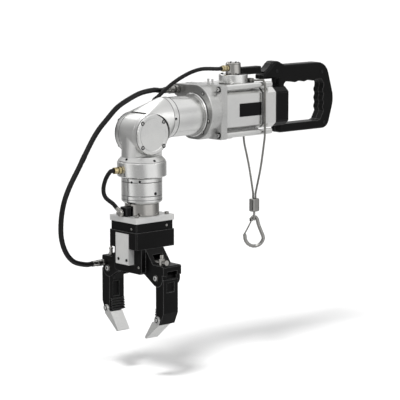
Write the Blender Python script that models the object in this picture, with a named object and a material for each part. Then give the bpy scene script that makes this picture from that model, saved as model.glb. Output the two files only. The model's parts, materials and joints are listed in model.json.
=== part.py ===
"""Hand-held hydraulic rescue gripper: handle, power body, arm, elbow, rotary wrist and two-finger gripper.

Units are metres, +Z up. The origin is the middle of the handle's rear grip, and the arm points to -X.
Shapes are written in the elbow's frame (elbow axis = Y, arm to +X), and empties place them.
"""

import math

import bmesh
import bpy
from mathutils import Matrix, Vector

# Clearances
GAP = 0.0003          # between pieces that sit on each other
RUN = 0.0004          # between pieces that turn or slide

# Lengths along the arm, from the elbow axis towards the grip
ELBOW_TO_RING = 0.066
RING_LENGTH = 0.0155
TUBE_LENGTH = 0.0925
BOSS_LENGTH = 0.0345
FLANGE_LENGTH = 0.020
BARREL_LENGTH = 0.1375
GROOVE_LENGTH = 0.006
REAR_HEAD_LENGTH = 0.043
REAR_CAP_LENGTH = 0.050
HANDLE_LEG = 0.0155
HAND_LENGTH = 0.150
GRIP_DEPTH = 0.038

# Heights above the elbow axis
ARM_RISE = 0.034
BODY_RISE = 0.041

# Elbow
KNUCKLE_RADIUS = 0.052
KNUCKLE_WIDTH = 0.058
CHEEK_THICKNESS = 0.0115
COVER_THICKNESS = 0.0048
COVER_RECESS = 0.0012
COVER_LAND = 0.011
ELBOW_SHAFT_RADIUS = 0.014
ELBOW_BUSH_WALL = 0.004
ELBOW_BUSH_LENGTH = 0.016
NECK_WIDTH = 0.055
NECK_FLARE = 0.011
YOKE_WEB = 0.005
SLOT_ROOM = 0.002

# Wrist, downwards from the elbow axis
NECK_DROP = 0.069
COLLAR_RADIUS = 0.0628
COLLAR_HEIGHT = 0.0385
WRIST_RADIUS = 0.052
WRIST_HEIGHT = 0.0665
SHAFT_RADIUS = 0.044
SHAFT_HEIGHT = 0.031
JOURNAL_RADIUS = 0.030
JOURNAL_HEIGHT = 0.050
WRIST_BUSH_WALL = 0.005
WRIST_BUSH_HEIGHT = 0.036
WRIST_GROOVE = 0.0012
WRIST_GROOVE_DROPS = (0.011, 0.046)
EDGE_BREAK = 0.0025

# Gripper head
PLATE_X = 0.127
PLATE_Y = 0.1068
PLATE_HEIGHT = 0.014
NECK_INSET = 0.003
NECK_HEIGHT = 0.0225
BLOCK_HEIGHT = 0.043
FRAME_HEIGHT = 0.064
FRAME_X_FRONT = 0.047
CHEEK_X_FRONT = 0.033
CHEEK_X_BACK = 0.026
FRAME_Y = 0.053
FRAME_BREAK = 0.006
FINGER_SLOT_FRONT = 0.020
FINGER_SLOT_BACK = 0.013
FRAME_WEB = 0.0135
PIN_Y = 0.095
PIN_DROP = 0.0675
PIN_RADIUS = 0.006
PIN_HEAD_RADIUS = 0.009
PIN_HEAD = 0.004
PIVOT_RADIUS = 0.022
SHOULDER_PAST = 0.026
SHOULDER_OUT = PIN_Y + SHOULDER_PAST
SHOULDER_DROP = 0.0355
SHOULDER_CLEAR = 0.008
COVER_Y = 0.050
COVER_DROP = 0.005
COVER_PLATE = 0.0027
COVER_TAIL = 0.041

# Piston, in the cylinder block
PISTON_RADIUS = 0.026
CYLINDER_ROOF = 0.006
ROD_RADIUS = 0.010
PISTON_HEIGHT = 0.012
PISTON_LIFT = 0.008
CROSSHEAD_HEIGHT = 0.030
CROSSHEAD_Y = 0.062
CRANK_Y = 0.045
CRANK_RISE = 0.023
CRANK_NOSE = 0.0055
CRANK_PLAY = 0.0029
CRANK_EYE = 0.014

# Fingers, from the shoulder pin
FINGER_INNER = 0.003
FINGER_OUTER = 0.026
FINGER_TOP = -0.0005
FINGER_TOP_SLOPE = 0.002
FINGER_LENGTH = 0.112
FINGER_BACK = 0.015
FINGER_HEEL_OUT = 0.0126
FINGER_HEEL_DROP = 0.006
FINGER_HEEL_RISE = 0.030
POCKET_SIZE = 0.025
POCKET_DEPTH = 0.005
POCKET_DROP = 0.010
INNER_POCKET_LENGTH = 0.040
INNER_POCKET_DROP = 0.036
PAD_MARGIN = 0.003
PAD_TEETH = 5
PAD_PITCH = 0.0066
PAD_DEPTH = 0.009
PAD_BASE = 0.0025
TIP_REACH = 0.0425
TIP_DROP = 0.157
TIP_WIDTH = 0.038
TIP_EDGE = 0.0055
TIP_EAR = 0.004
TIP_EAR_RADIUS = 0.009
TIP_PIN_DROP = 0.105
TIP_PIN_IN = -0.006
TIP_PIN_RADIUS = 0.004
TIP_PIN_HEAD = 0.0075

# Body
TUBE_RADIUS = 0.0515
TUBE_WALL = 0.010
RING_PROUD = 0.001
RING_RADIUS = TUBE_RADIUS + RING_PROUD
BEAD_PROUD = 0.005
BEAD_RADIUS = TUBE_RADIUS + BEAD_PROUD
BEAD_LENGTH = 0.004
BOSS_RADIUS = 0.073
FLANGE_SIDE = 0.140
SCREW_POCKET = 0.012
LUG_Y = 0.060
LUG_HALF = 0.014
LUG_RISE = 0.055
BARREL_Y = 0.0534
BARREL_PANEL = 0.0415
BARREL_SHOULDER_Y = 0.041
BARREL_SHOULDER_Z = 0.0525
BARREL_TOP = 0.066
ROD_Y = 0.050
ROD_Z = 0.0618
TIE_ROD_RADIUS = 0.0075
HEAD_Y = 0.056
HEAD_PANEL = 0.040
HEAD_TOP_Y = 0.041
HEAD_TOP = 0.053
SPIGOT_INSET = 0.006
TIE_ROD_SHORT = 0.013

# Handle, heights above the elbow axis
HANDLE_WIDTH = 0.036
HANDLE_ROUND = 0.006
TOP_BAR_TOP = 0.146
TOP_BAR_UNDER = 0.101
BOTTOM_BAR_TOP = -0.012
BOTTOM_BAR_UNDER = -0.035
HOUSING_LIP = 0.122
HOUSING_LIP_HEIGHT = 0.0105
HOUSING_PEAK = 0.157
HOUSING_OVERHANG = 0.009
HOUSING_SLOPE = 0.042
HOUSING_CREST = 0.014
HOUSING_FALL = 0.023
GROOVE_DEPTH = 0.004
GROOVE_PITCH = 0.034
GRIP_GROOVES = 3

# Control paddle
PADDLE_LENGTH = 0.034
PADDLE_WIDTH = 0.0225
PADDLE_PROUD = 0.003
PADDLE_DEPTH = 0.004
PADDLE_HUB = 0.004
PADDLE_PIN_RADIUS = 0.002
PADDLE_PIN_LENGTH = 0.027
PADDLE_ROOM = 0.0018

# Valve and small body pieces
VALVE_ALONG = 0.0845
VALVE_BASE_RADIUS = 0.038
VALVE_BASE_HEIGHT = 0.0235
VALVE_RADIUS = 0.020
VALVE_HEIGHT = 0.026
VALVE_CAP_HEIGHT = 0.004
CONDUIT_HEIGHT = 0.020
CONDUIT_WIDTH = 0.020
CONDUIT_RISE = 0.127
POST_RADIUS = 0.0028
POST_HEIGHT = 0.014
POST_SIDES = 10
POST_Y = (-0.008, -0.024)
NAME_PLATE_LENGTH = 0.076
NAME_PLATE_HEIGHT = 0.034
NAME_PLATE_THICKNESS = 0.0012
PLUG_ALONG = 0.0635
PLUG_RADIUS = 0.014
PLUG_HEIGHT = 0.011

# Hoses and sling
SUPPLY_HOSE = 0.0135
PILOT_HOSE = 0.0105
WRIST_HOSE = 0.011
FITTING_LENGTH = 0.045
FITTING_RADIUS = 0.0095
VALVE_FITTING_LENGTH = 0.022
VALVE_FITTING_Z = 0.147
JAW_FITTING_LENGTH = 0.044
JAW_FITTING_RISE = 0.014
JAW_FITTING_OUT = 0.012
COLLAR_FITTING_LENGTH = 0.020
COLLAR_FITTING_ANGLE = 172
PORT_BLOCK = 0.016
PORT_BLOCK_HEIGHT = 0.024
BANJO_RADIUS = 0.0095
BANJO_WIDTH = 0.011
SPOUT_LENGTH = 0.0165
ROPE_DIAMETER = 0.0055
ROPE_CLEAR = 0.0019
SLING_HANG_Y = -0.025
FERRULE_TOP = -0.200
FERRULE_HEIGHT = 0.036
FERRULE_X = 0.024
FERRULE_Y = 0.014
EYE_DROP = 0.0105
EYE_RADIUS = 0.0115
HOOK_WIRE = 0.0095
HOOK_RADIUS = 0.0245
HOOK_DROP = 0.071
HOOK_PLAY = 0.0009
HOOK_TURN = -42
ANCHOR_Y = 0.008
ANCHOR_DROP = 0.010

# Round shapes are made of this many flats
SIDES_LARGE = 48
SIDES_MEDIUM = 28
SIDES_SMALL = 16

# Places worked out from the lengths above
RING_X = ELBOW_TO_RING
TUBE_X = RING_X + RING_LENGTH
BOSS_X = TUBE_X + TUBE_LENGTH
FLANGE_X = BOSS_X + BOSS_LENGTH
BARREL_X = FLANGE_X + FLANGE_LENGTH
VALVE_X = BARREL_X + VALVE_ALONG
PLUG_X = BARREL_X + PLUG_ALONG
GROOVE_X = BARREL_X + BARREL_LENGTH
ANCHOR_X = GROOVE_X - 0.008
HEAD_X = GROOVE_X + GROOVE_LENGTH
CAP_X = HEAD_X + REAR_HEAD_LENGTH
LEG_X = CAP_X + REAR_CAP_LENGTH
HOUSING_UNDER = HOUSING_LIP - HOUSING_LIP_HEIGHT
HOUSING_FRONT = CAP_X - HOUSING_OVERHANG
HOUSING_PEAK_FRONT = HOUSING_FRONT + HOUSING_SLOPE
HOUSING_PEAK_BACK = HOUSING_PEAK_FRONT + HOUSING_CREST
HOUSING_BACK = HOUSING_PEAK_BACK + HOUSING_FALL
HAND_X = LEG_X + HANDLE_LEG
GRIP_X = HAND_X + HAND_LENGTH
HANDLE_END = GRIP_X + GRIP_DEPTH
GRIP_Z = (TOP_BAR_UNDER + BOTTOM_BAR_TOP) / 2
ELBOW = Vector((-(GRIP_X + GRIP_DEPTH / 2), 0, -GRIP_Z))

CHEEK_INNER = KNUCKLE_WIDTH / 2 + RUN
CHEEK_OUTER = CHEEK_INNER + CHEEK_THICKNESS
COLLAR_Z = -NECK_DROP - GAP
WRIST_Z = COLLAR_Z - COLLAR_HEIGHT - GAP
SHAFT_Z = WRIST_Z - WRIST_HEIGHT - RUN
PLATE_Z = SHAFT_Z - SHAFT_HEIGHT - GAP
NECK_Z = PLATE_Z - PLATE_HEIGHT - GAP
BLOCK_Z = NECK_Z - NECK_HEIGHT - GAP
FRAME_Z = BLOCK_Z - BLOCK_HEIGHT - GAP
PIN_Z = FRAME_Z - PIN_DROP
FRAME_BOTTOM = FRAME_Z - FRAME_HEIGHT


def clear_scene():
    for obj in list(bpy.data.objects):
        bpy.data.objects.remove(obj, do_unlink=True)


def finish(name, colour, roughness, metallic):
    """One Principled material per finish, made once."""
    found = bpy.data.materials.get(name)
    if found:
        return found
    material = bpy.data.materials.new(name)
    material.use_nodes = True
    shader = material.node_tree.nodes["Principled BSDF"]
    shader.inputs["Base Color"].default_value = (*colour, 1)
    shader.inputs["Roughness"].default_value = roughness
    shader.inputs["Metallic"].default_value = metallic
    return material


def silver():
    return finish("satin anodised aluminium", (0.62, 0.63, 0.63), 0.38, 1.0)


def nickel():
    return finish("nickel plated steel", (0.66, 0.64, 0.60), 0.22, 1.0)


def black_metal():
    return finish("black anodised aluminium", (0.012, 0.012, 0.013), 0.42, 0.3)


def black_nylon():
    return finish("black glass filled nylon", (0.014, 0.014, 0.015), 0.55, 0.0)


def bare_aluminium():
    return finish("bare machined aluminium", (0.50, 0.50, 0.50), 0.45, 1.0)


def brass():
    return finish("pale brass", (0.62, 0.48, 0.24), 0.30, 1.0)


def steel():
    return finish("bright steel", (0.55, 0.55, 0.55), 0.30, 1.0)


def bronze():
    return finish("bearing bronze", (0.45, 0.28, 0.12), 0.40, 1.0)


def rubber():
    return finish("black hose rubber", (0.010, 0.010, 0.010), 0.60, 0.0)


def empty(name, place, parent=None):
    obj = bpy.data.objects.new(name, None)
    obj.location = place
    obj.parent = parent
    bpy.context.collection.objects.link(obj)
    return obj


def to_axis(axis):
    """Turns a shape made along +Z so that it points along +X, +Y or +Z."""
    if axis == "X":
        return Matrix.Rotation(math.radians(90), 4, "Y")
    if axis == "Y":
        return Matrix.Rotation(math.radians(-90), 4, "X")
    return Matrix.Identity(4)


def solid(name, bm, material, parent, smooth=False):
    """The bmesh as an object under its empty, with its normals pointing out."""
    bmesh.ops.remove_doubles(bm, verts=bm.verts, dist=1e-7)
    bmesh.ops.recalc_face_normals(bm, faces=bm.faces)
    mesh = bpy.data.meshes.new(name)
    bm.to_mesh(mesh)
    bm.free()
    if smooth:
        mesh.shade_smooth()
        mesh.set_sharp_from_angle(angle=math.radians(35))
    obj = bpy.data.objects.new(name, mesh)
    obj.parent = parent
    bpy.context.collection.objects.link(obj)
    if material:
        mesh.materials.append(material)
    return obj


def cutter(bm, parent, name="cutter"):
    """A hidden helper shape."""
    obj = solid(name, bm, None, parent)
    obj.hide_render = True
    obj.display_type = "WIRE"
    return obj


def boolean(obj, other, operation):
    modifier = obj.modifiers.new(operation.lower(), "BOOLEAN")
    modifier.operation = operation
    modifier.object = other
    modifier.solver = "EXACT"
    return obj


def cut(obj, bm):
    return boolean(obj, cutter(bm, obj.parent), "DIFFERENCE")


def fuse(obj, bm):
    return boolean(obj, cutter(bm, obj.parent), "UNION")


def turned(profile, sides, axis="Z", at=(0, 0, 0)):
    """A turned shape: (radius, height) points, closed on itself or ending on the axis."""
    bm = bmesh.new()
    verts = [bm.verts.new((radius, 0, height)) for radius, height in profile]
    hollow = all(radius > 0 for radius, height in profile)
    for first, second in zip(verts, verts[1:] + verts[:1] if hollow else verts[1:]):
        bm.edges.new((first, second))
    bmesh.ops.spin(bm, geom=bm.verts[:] + bm.edges[:], cent=(0, 0, 0), axis=(0, 0, 1),
                   angle=math.tau, steps=sides, use_merge=True)
    bmesh.ops.remove_doubles(bm, verts=bm.verts, dist=1e-7)
    bm.transform(Matrix.Translation(at) @ to_axis(axis))
    return bm


def rod(radius, low, high, sides, axis="Z", at=(0, 0, 0), chamfer=0.0):
    """A round bar with broken edges."""
    if not chamfer:
        return turned([(0, high), (radius, high), (radius, low), (0, low)], sides, axis, at)
    profile = [(0, high), (radius - chamfer, high), (radius, high - chamfer),
               (radius, low + chamfer), (radius - chamfer, low), (0, low)]
    return turned(profile, sides, axis, at)


def ring(outer, inner, low, high, sides, axis="Z", at=(0, 0, 0), chamfer=0.0):
    profile = [(outer - chamfer, high), (outer, high - chamfer), (outer, low + chamfer),
               (outer - chamfer, low), (inner, low), (inner, high)]
    if not chamfer:
        profile = [(outer, high), (outer, low), (inner, low), (inner, high)]
    return turned(profile, sides, axis, at)


def prism(outline, low, high, axis="Z", at=(0, 0, 0)):
    """An outline pulled along an axis. Its points are (y, z), (x, z) or (x, y)."""
    place = {
        "X": lambda a, b, h: (h, a, b),
        "Y": lambda a, b, h: (a, h, b),
        "Z": lambda a, b, h: (a, b, h),
    }[axis]
    bm = bmesh.new()
    face = bm.faces.new([bm.verts.new(place(a, b, low)) for a, b in outline])
    pulled = bmesh.ops.extrude_face_region(bm, geom=[face])
    tops = [item for item in pulled["geom"] if isinstance(item, bmesh.types.BMVert)]
    bmesh.ops.translate(bm, verts=tops, vec=Vector(place(0, 0, high - low)))
    bm.transform(Matrix.Translation(at))
    return bm


def block(low, high):
    """A box between two corners."""
    outline = [(low[0], low[1]), (high[0], low[1]), (high[0], high[1]), (low[0], high[1])]
    return prism(outline, low[2], high[2])


def break_edges(bm, width, chosen, segments=1):
    """Bevels the edges for which chosen(edge) is true."""
    bmesh.ops.recalc_face_normals(bm, faces=bm.faces)
    edges = [edge for edge in bm.edges if chosen(edge)]
    bmesh.ops.bevel(bm, geom=edges, offset=width, offset_type="OFFSET", affect="EDGES",
                    segments=segments, profile=0.5, material=-1)
    return bm


def upright(edge):
    """True for an edge along Z between two unlike faces."""
    along = (edge.verts[0].co - edge.verts[1].co).normalized()
    return abs(along.z) > 0.99 and edge.calc_face_angle(0) > 0.5


def sharp(edge):
    return edge.calc_face_angle(0) > 0.6


def arc(centre, radius, start, end, steps):
    """Points on a circle, angles in degrees."""
    angles = [math.radians(start + (end - start) * i / steps) for i in range(steps + 1)]
    return [(centre[0] + radius * math.cos(a), centre[1] + radius * math.sin(a)) for a in angles]


def rounded(corners, steps=4):
    """An outline of (a, b, radius) corners with each corner made an arc."""
    outline = []
    for i, (a, b, radius) in enumerate(corners):
        here = Vector((a, b))
        before = (Vector(corners[i - 1][:2]) - here).normalized()
        after = (Vector(corners[(i + 1) % len(corners)][:2]) - here).normalized()
        if not radius:
            outline.append((a, b))
            continue
        half = before.angle(after) / 2
        reach = radius / math.tan(half)
        centre = here + (before + after).normalized() * (radius / math.sin(half))
        first = here + before * reach - centre
        last = here + after * reach - centre
        turn = first.angle_signed(last)
        for step in range(steps + 1):
            spin = Matrix.Rotation(-turn * step / steps, 2)
            outline.append(tuple(centre + spin @ first))
    return outline


def mirrored(half):
    """A closed outline from its +Y half, listed from top to bottom."""
    return half + [(-a, b) for a, b in reversed(half)]


def lifted(points, rise):
    return [(a, b + rise) for a, b in points]


def hull(groups):
    """The convex wrap of a few point groups."""
    bm = bmesh.new()
    for point in groups:
        bm.verts.new(point)
    made = bmesh.ops.convex_hull(bm, input=bm.verts[:])
    inside = {item for item in made["geom_interior"] + made["geom_unused"]
              if isinstance(item, bmesh.types.BMVert)}
    bmesh.ops.delete(bm, geom=list(inside), context="VERTS")
    return bm


def smooth_route(points, spacing):
    """Evenly spaced points on a smooth curve through chosen ones. First and last runs stay straight."""
    knots = [Vector(p) for p in points]
    fine = []
    for a, b, c, d in zip(knots, knots[1:], knots[2:], knots[3:]):
        for step in range(16):
            t = step / 16
            fine.append(0.5 * (2 * b + (c - a) * t + (2 * a - 5 * b + 4 * c - d) * t ** 2
                               + (3 * b - a - 3 * c + d) * t ** 3))
    fine.append(knots[-2])
    lengths = [0.0]
    for first, second in zip(fine, fine[1:]):
        lengths.append(lengths[-1] + (second - first).length)
    count = max(3, round(lengths[-1] / spacing))
    route, index = [knots[0]], 0
    for step in range(count + 1):
        goal = lengths[-1] * step / count
        while index < len(fine) - 2 and lengths[index + 1] < goal:
            index += 1
        share = (goal - lengths[index]) / (lengths[index + 1] - lengths[index])
        route.append(fine[index].lerp(fine[index + 1], min(max(share, 0.0), 1.0)))
    return route + [knots[-1]]


def tube(name, points, diameter, material, parent, resolution=2, spacing=2.2):
    """A hose or rope: a round bevel along a smooth route."""
    curve = bpy.data.curves.new(name, "CURVE")
    curve.dimensions = "3D"
    curve.bevel_depth = diameter / 2
    curve.bevel_resolution = resolution
    curve.use_fill_caps = True
    spline = curve.splines.new("POLY")
    route = smooth_route(points, diameter * spacing)
    spline.points.add(len(route) - 1)
    for point, place in zip(spline.points, route):
        point.co = (*place, 1)
    obj = bpy.data.objects.new(name, curve)
    obj.parent = parent
    curve.materials.append(material)
    bpy.context.collection.objects.link(obj)
    length = sum((b - a).length for a, b in zip(route, route[1:]))
    print(f"{name}: {length:.3f} m long, {len(route)} points")
    return obj


def stepped(steps, sides, axis, at, name, material, parent):
    """A fitting turned from (radius, length) steps, from its seat outwards."""
    profile, height = [], 0.0
    for radius, length in steps:
        profile += [(radius, height), (radius, height + length)]
        height += length
    profile = [(0, 0.0)] + profile + [(0, height)]
    return solid(name, turned(profile, sides, axis, at), material, parent, smooth=True)


# Elbow and arm, carried by the body

def make_yoke(root):
    """The fork: two round cheeks joined to the arm tube by a tapering shoulder."""
    wrap = []
    for y in (-CHEEK_OUTER, CHEEK_OUTER):
        wrap += [(x, y, z) for x, z in arc((0, 0), KNUCKLE_RADIUS, 0, 360, SIDES_LARGE)]
    ring_x = RING_X - GAP
    wrap += [(ring_x, y, z) for y, z in arc((0, ARM_RISE), RING_RADIUS, 0, 360, SIDES_LARGE)]
    yoke = solid("elbow_yoke", hull(wrap), silver(), root, smooth=True)
    room = KNUCKLE_RADIUS + SLOT_ROOM
    far = 2 * RING_RADIUS
    cut(yoke, rod(room, -CHEEK_INNER, CHEEK_INNER, SIDES_LARGE, "Y"))
    cut(yoke, block((-room, -CHEEK_INNER, -2 * room), (RING_X - YOKE_WEB, CHEEK_INNER, -GAP)))
    cut(yoke, rod(ELBOW_SHAFT_RADIUS + GAP, -far, far, SIDES_MEDIUM, "Y"))
    for low, high in ((-far, -CHEEK_OUTER), (CHEEK_OUTER, far)):
        cut(yoke, rod(KNUCKLE_RADIUS + GAP, low, high, SIDES_LARGE, "Y"))
    return yoke


def make_elbow(root, forearm):
    make_yoke(root)
    low = CHEEK_OUTER + GAP
    high = low + COVER_THICKNESS
    land = KNUCKLE_RADIUS - COVER_LAND
    cover = [(0, high - COVER_RECESS), (land, high - COVER_RECESS), (land + COVER_RECESS, high),
             (KNUCKLE_RADIUS - EDGE_BREAK, high), (KNUCKLE_RADIUS, high - EDGE_BREAK),
             (KNUCKLE_RADIUS, low), (0, low)]
    bush_end = KNUCKLE_WIDTH / 2
    bush_start = bush_end - ELBOW_BUSH_LENGTH
    for name, side in (("near", -1), ("far", 1)):
        bm = turned([(radius, side * height) for radius, height in cover], SIDES_LARGE, "Y")
        solid(f"elbow_cover_{name}", bm, silver(), root, smooth=True)
        ends = sorted((side * bush_start, side * bush_end))
        bush = ring(ELBOW_SHAFT_RADIUS + ELBOW_BUSH_WALL, ELBOW_SHAFT_RADIUS + GAP, *ends, SIDES_MEDIUM,
                    "Y")
        solid(f"elbow_bush_{name}", bush, bronze(), forearm, smooth=True)
    shaft = rod(ELBOW_SHAFT_RADIUS, -CHEEK_OUTER, CHEEK_OUTER, SIDES_MEDIUM, "Y", chamfer=0.001)
    solid("elbow_shaft", shaft, steel(), root, smooth=True)


def make_knuckle(forearm):
    """The tongue between the cheeks, with the flat-sided neck below it flaring to the collar."""
    half = KNUCKLE_WIDTH / 2
    knuckle = solid("forearm_knuckle", rod(KNUCKLE_RADIUS, -half, half, SIDES_LARGE, "Y", chamfer=0.0012),
                    silver(), forearm, smooth=True)
    neck_radius = KNUCKLE_RADIUS - 0.0004
    shelf = -NECK_DROP + NECK_FLARE
    profile = [(0, 0.0), (neck_radius, 0.0), (neck_radius, shelf),
               (COLLAR_RADIUS - EDGE_BREAK, -NECK_DROP + 0.002),
               (COLLAR_RADIUS - EDGE_BREAK, -NECK_DROP), (0, -NECK_DROP)]
    neck = cutter(turned(profile, SIDES_LARGE), forearm, "neck")
    far = 2 * COLLAR_RADIUS
    flat = NECK_WIDTH / 2
    for side in (-1, 1):
        outline = [(side * flat, 0.01), (side * far, 0.01), (side * far, shelf + 0.004),
                   (side * flat, shelf + 0.001)]
        cut(neck, prism(outline, -far, far, "X"))
    boolean(knuckle, neck, "UNION")
    cut(knuckle, rod(ELBOW_SHAFT_RADIUS + ELBOW_BUSH_WALL + GAP, -2 * half, 2 * half, SIDES_MEDIUM, "Y"))
    return knuckle


def make_arm(root):
    at = (0, 0, ARM_RISE)
    bore = TUBE_RADIUS - TUBE_WALL
    clamp = ring(RING_RADIUS, bore, RING_X, TUBE_X - GAP, SIDES_LARGE, "X", at, 0.0008)
    solid("arm_clamp_ring", clamp, silver(), root, smooth=True)
    end = BOSS_X - GAP
    round_off = 0.0015
    profile = [(TUBE_RADIUS, TUBE_X), (bore, TUBE_X), (bore, end), (BEAD_RADIUS - round_off, end),
               (BEAD_RADIUS, end - round_off), (BEAD_RADIUS, end - BEAD_LENGTH + round_off),
               (BEAD_RADIUS - round_off, end - BEAD_LENGTH), (TUBE_RADIUS, end - BEAD_LENGTH)]
    solid("arm_tube", turned(profile, SIDES_LARGE, "X", at), silver(), root, smooth=True)


# Wrist

def make_wrist(forearm, gripper):
    low = COLLAR_Z - COLLAR_HEIGHT
    collar = rod(COLLAR_RADIUS, low, COLLAR_Z, SIDES_LARGE, chamfer=EDGE_BREAK)
    solid("wrist_collar", collar, silver(), forearm, smooth=True)
    bottom = WRIST_Z - WRIST_HEIGHT
    journal_room = JOURNAL_RADIUS + WRIST_BUSH_WALL + 2 * GAP
    roof = SHAFT_Z + JOURNAL_HEIGHT + 0.002
    groove = WRIST_GROOVE
    profile = [(0, WRIST_Z), (WRIST_RADIUS - EDGE_BREAK, WRIST_Z), (WRIST_RADIUS, WRIST_Z - EDGE_BREAK)]
    for drop in WRIST_GROOVE_DROPS:
        level = WRIST_Z - drop
        profile += [(WRIST_RADIUS, level), (WRIST_RADIUS - groove, level - groove / 2),
                    (WRIST_RADIUS - groove, level - groove), (WRIST_RADIUS, level - groove * 1.5)]
    profile += [(WRIST_RADIUS, bottom + 2 * EDGE_BREAK), (WRIST_RADIUS - 2 * EDGE_BREAK, bottom),
                (journal_room, bottom), (journal_room, roof), (0, roof)]
    solid("wrist_barrel", turned(profile, SIDES_LARGE), silver(), forearm, smooth=True)
    bush_low = bottom + 0.001
    bush = ring(journal_room - GAP, JOURNAL_RADIUS + GAP, bush_low, bush_low + WRIST_BUSH_HEIGHT,
                SIDES_MEDIUM)
    solid("wrist_bush", bush, bronze(), forearm, smooth=True)
    # The gripper's own empty lies on the wrist axis at the shaft's shoulder.
    top = JOURNAL_HEIGHT
    profile = [(0, top), (JOURNAL_RADIUS - 0.001, top), (JOURNAL_RADIUS, top - 0.001), (JOURNAL_RADIUS, 0),
               (SHAFT_RADIUS - 0.001, 0), (SHAFT_RADIUS, -0.001), (SHAFT_RADIUS, -SHAFT_HEIGHT),
               (0, -SHAFT_HEIGHT)]
    solid("wrist_shaft", turned(profile, SIDES_LARGE), nickel(), gripper, smooth=True)


# Gripper head. Heights are measured from the gripper's empty.

def below(z):
    return z - SHAFT_Z


def make_head(gripper):
    half_x = PLATE_X / 2
    half_y = PLATE_Y / 2
    plate = block((-half_x, -half_y, below(PLATE_Z - PLATE_HEIGHT)), (half_x, half_y, below(PLATE_Z)))
    solid("mounting_plate", break_edges(plate, 0.002, upright), bare_aluminium(), gripper)
    inset_x = half_x - NECK_INSET
    inset_y = half_y - NECK_INSET
    neck = block((-inset_x, -inset_y, below(NECK_Z - NECK_HEIGHT)), (inset_x, inset_y, below(NECK_Z)))
    solid("gripper_neck", break_edges(neck, 0.002, upright), black_metal(), gripper)
    body = block((-half_x, -half_y, below(BLOCK_Z - BLOCK_HEIGHT)), (half_x, half_y, below(BLOCK_Z)))
    body = solid("gripper_block", break_edges(body, 0.0025, upright), black_metal(), gripper)
    floor = below(BLOCK_Z - BLOCK_HEIGHT)
    roof = below(BLOCK_Z) - CYLINDER_ROOF
    cut(body, rod(PISTON_RADIUS + RUN, floor - 0.01, roof, SIDES_MEDIUM))


def frame_outline():
    """The gripper frame seen along the finger pins: arms sloping to the shoulders, and round pin ends."""
    top = below(FRAME_Z)
    bottom = below(FRAME_BOTTOM)
    pin = Vector((PIN_Y, below(PIN_Z)))
    inner = Vector((FRAME_Y - FRAME_BREAK, bottom))
    reach = inner - pin
    touch = math.degrees(math.atan2(reach.y, reach.x) + math.acos(PIVOT_RADIUS / reach.length)) % 360
    shoulder_top = top - SHOULDER_DROP
    outer = math.degrees(math.asin(SHOULDER_CLEAR / PIVOT_RADIUS))
    half = [(FRAME_Y, top), (PIN_Y - 0.014, shoulder_top), (SHOULDER_OUT - 0.003, shoulder_top),
            (SHOULDER_OUT, shoulder_top - 0.003), (SHOULDER_OUT, pin.y + SHOULDER_CLEAR)]
    half += arc(pin, PIVOT_RADIUS, outer, touch - 360, 12)
    half += [tuple(inner)]
    return mirrored(half)


def make_frame(gripper):
    """Two cheeks under a web. The finger roots and the crosshead move in the slot between them."""
    frame = solid("gripper_frame", prism(frame_outline(), -CHEEK_X_FRONT, CHEEK_X_BACK, "X"), black_metal(),
                  gripper)
    top = below(FRAME_Z)
    bottom = below(FRAME_BOTTOM)
    nose = mirrored([(FRAME_Y, top), (FRAME_Y, bottom + FRAME_BREAK), (FRAME_Y - FRAME_BREAK, bottom)])
    fuse(frame, prism(nose, -FRAME_X_FRONT, -CHEEK_X_FRONT + 0.004, "X"))
    roof = top - FRAME_WEB
    wide = 2 * SHOULDER_OUT
    eave = below(PIN_Z) + CRANK_EYE + 0.004
    deep = bottom - 2 * PIVOT_RADIUS
    slot = mirrored([(PIN_Y - 0.017, roof), (PIN_Y, eave), (wide, eave), (wide, deep)])
    cut(frame, prism(slot, -FINGER_SLOT_FRONT, FINGER_SLOT_BACK, "X"))
    cut(frame, rod(ROD_RADIUS + RUN, bottom, top + 0.01, SIDES_SMALL))
    far = 2 * FRAME_X_FRONT
    for side in (-1, 1):
        cut(frame, rod(PIN_RADIUS + GAP, -far, far, SIDES_SMALL, "X", (0, side * PIN_Y, below(PIN_Z))))
        pin = [(0, 0.0), (PIN_HEAD_RADIUS, 0.0), (PIN_HEAD_RADIUS, PIN_HEAD - GAP),
               (PIN_RADIUS, PIN_HEAD - GAP),
               (PIN_RADIUS, PIN_HEAD + CHEEK_X_FRONT + CHEEK_X_BACK),
               (0, PIN_HEAD + CHEEK_X_FRONT + CHEEK_X_BACK)]
        at = (-CHEEK_X_FRONT - PIN_HEAD, side * PIN_Y, below(PIN_Z))
        name = "shoulder_pin_left" if side > 0 else "shoulder_pin_right"
        solid(name, turned(pin, SIDES_SMALL, "X", at), nickel(), gripper, smooth=True)
    return frame


def make_cover(gripper):
    """The aluminium cover on the front: a plate above and a thick tail below the block."""
    face = -PLATE_X / 2 - GAP
    top = below(BLOCK_Z) - COVER_DROP
    under = below(BLOCK_Z - BLOCK_HEIGHT) - GAP
    low = under - COVER_TAIL
    outer = face - COVER_PLATE
    seat = -FRAME_X_FRONT - GAP
    outline = [(face, top), (outer, top), (outer, low + 0.002), (outer + 0.002, low), (seat, low),
               (seat, under),
               (face, under)]
    half = COVER_Y / 2
    solid("front_cover", prism(outline, -half, half, "Y"), bare_aluminium(), gripper)


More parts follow.
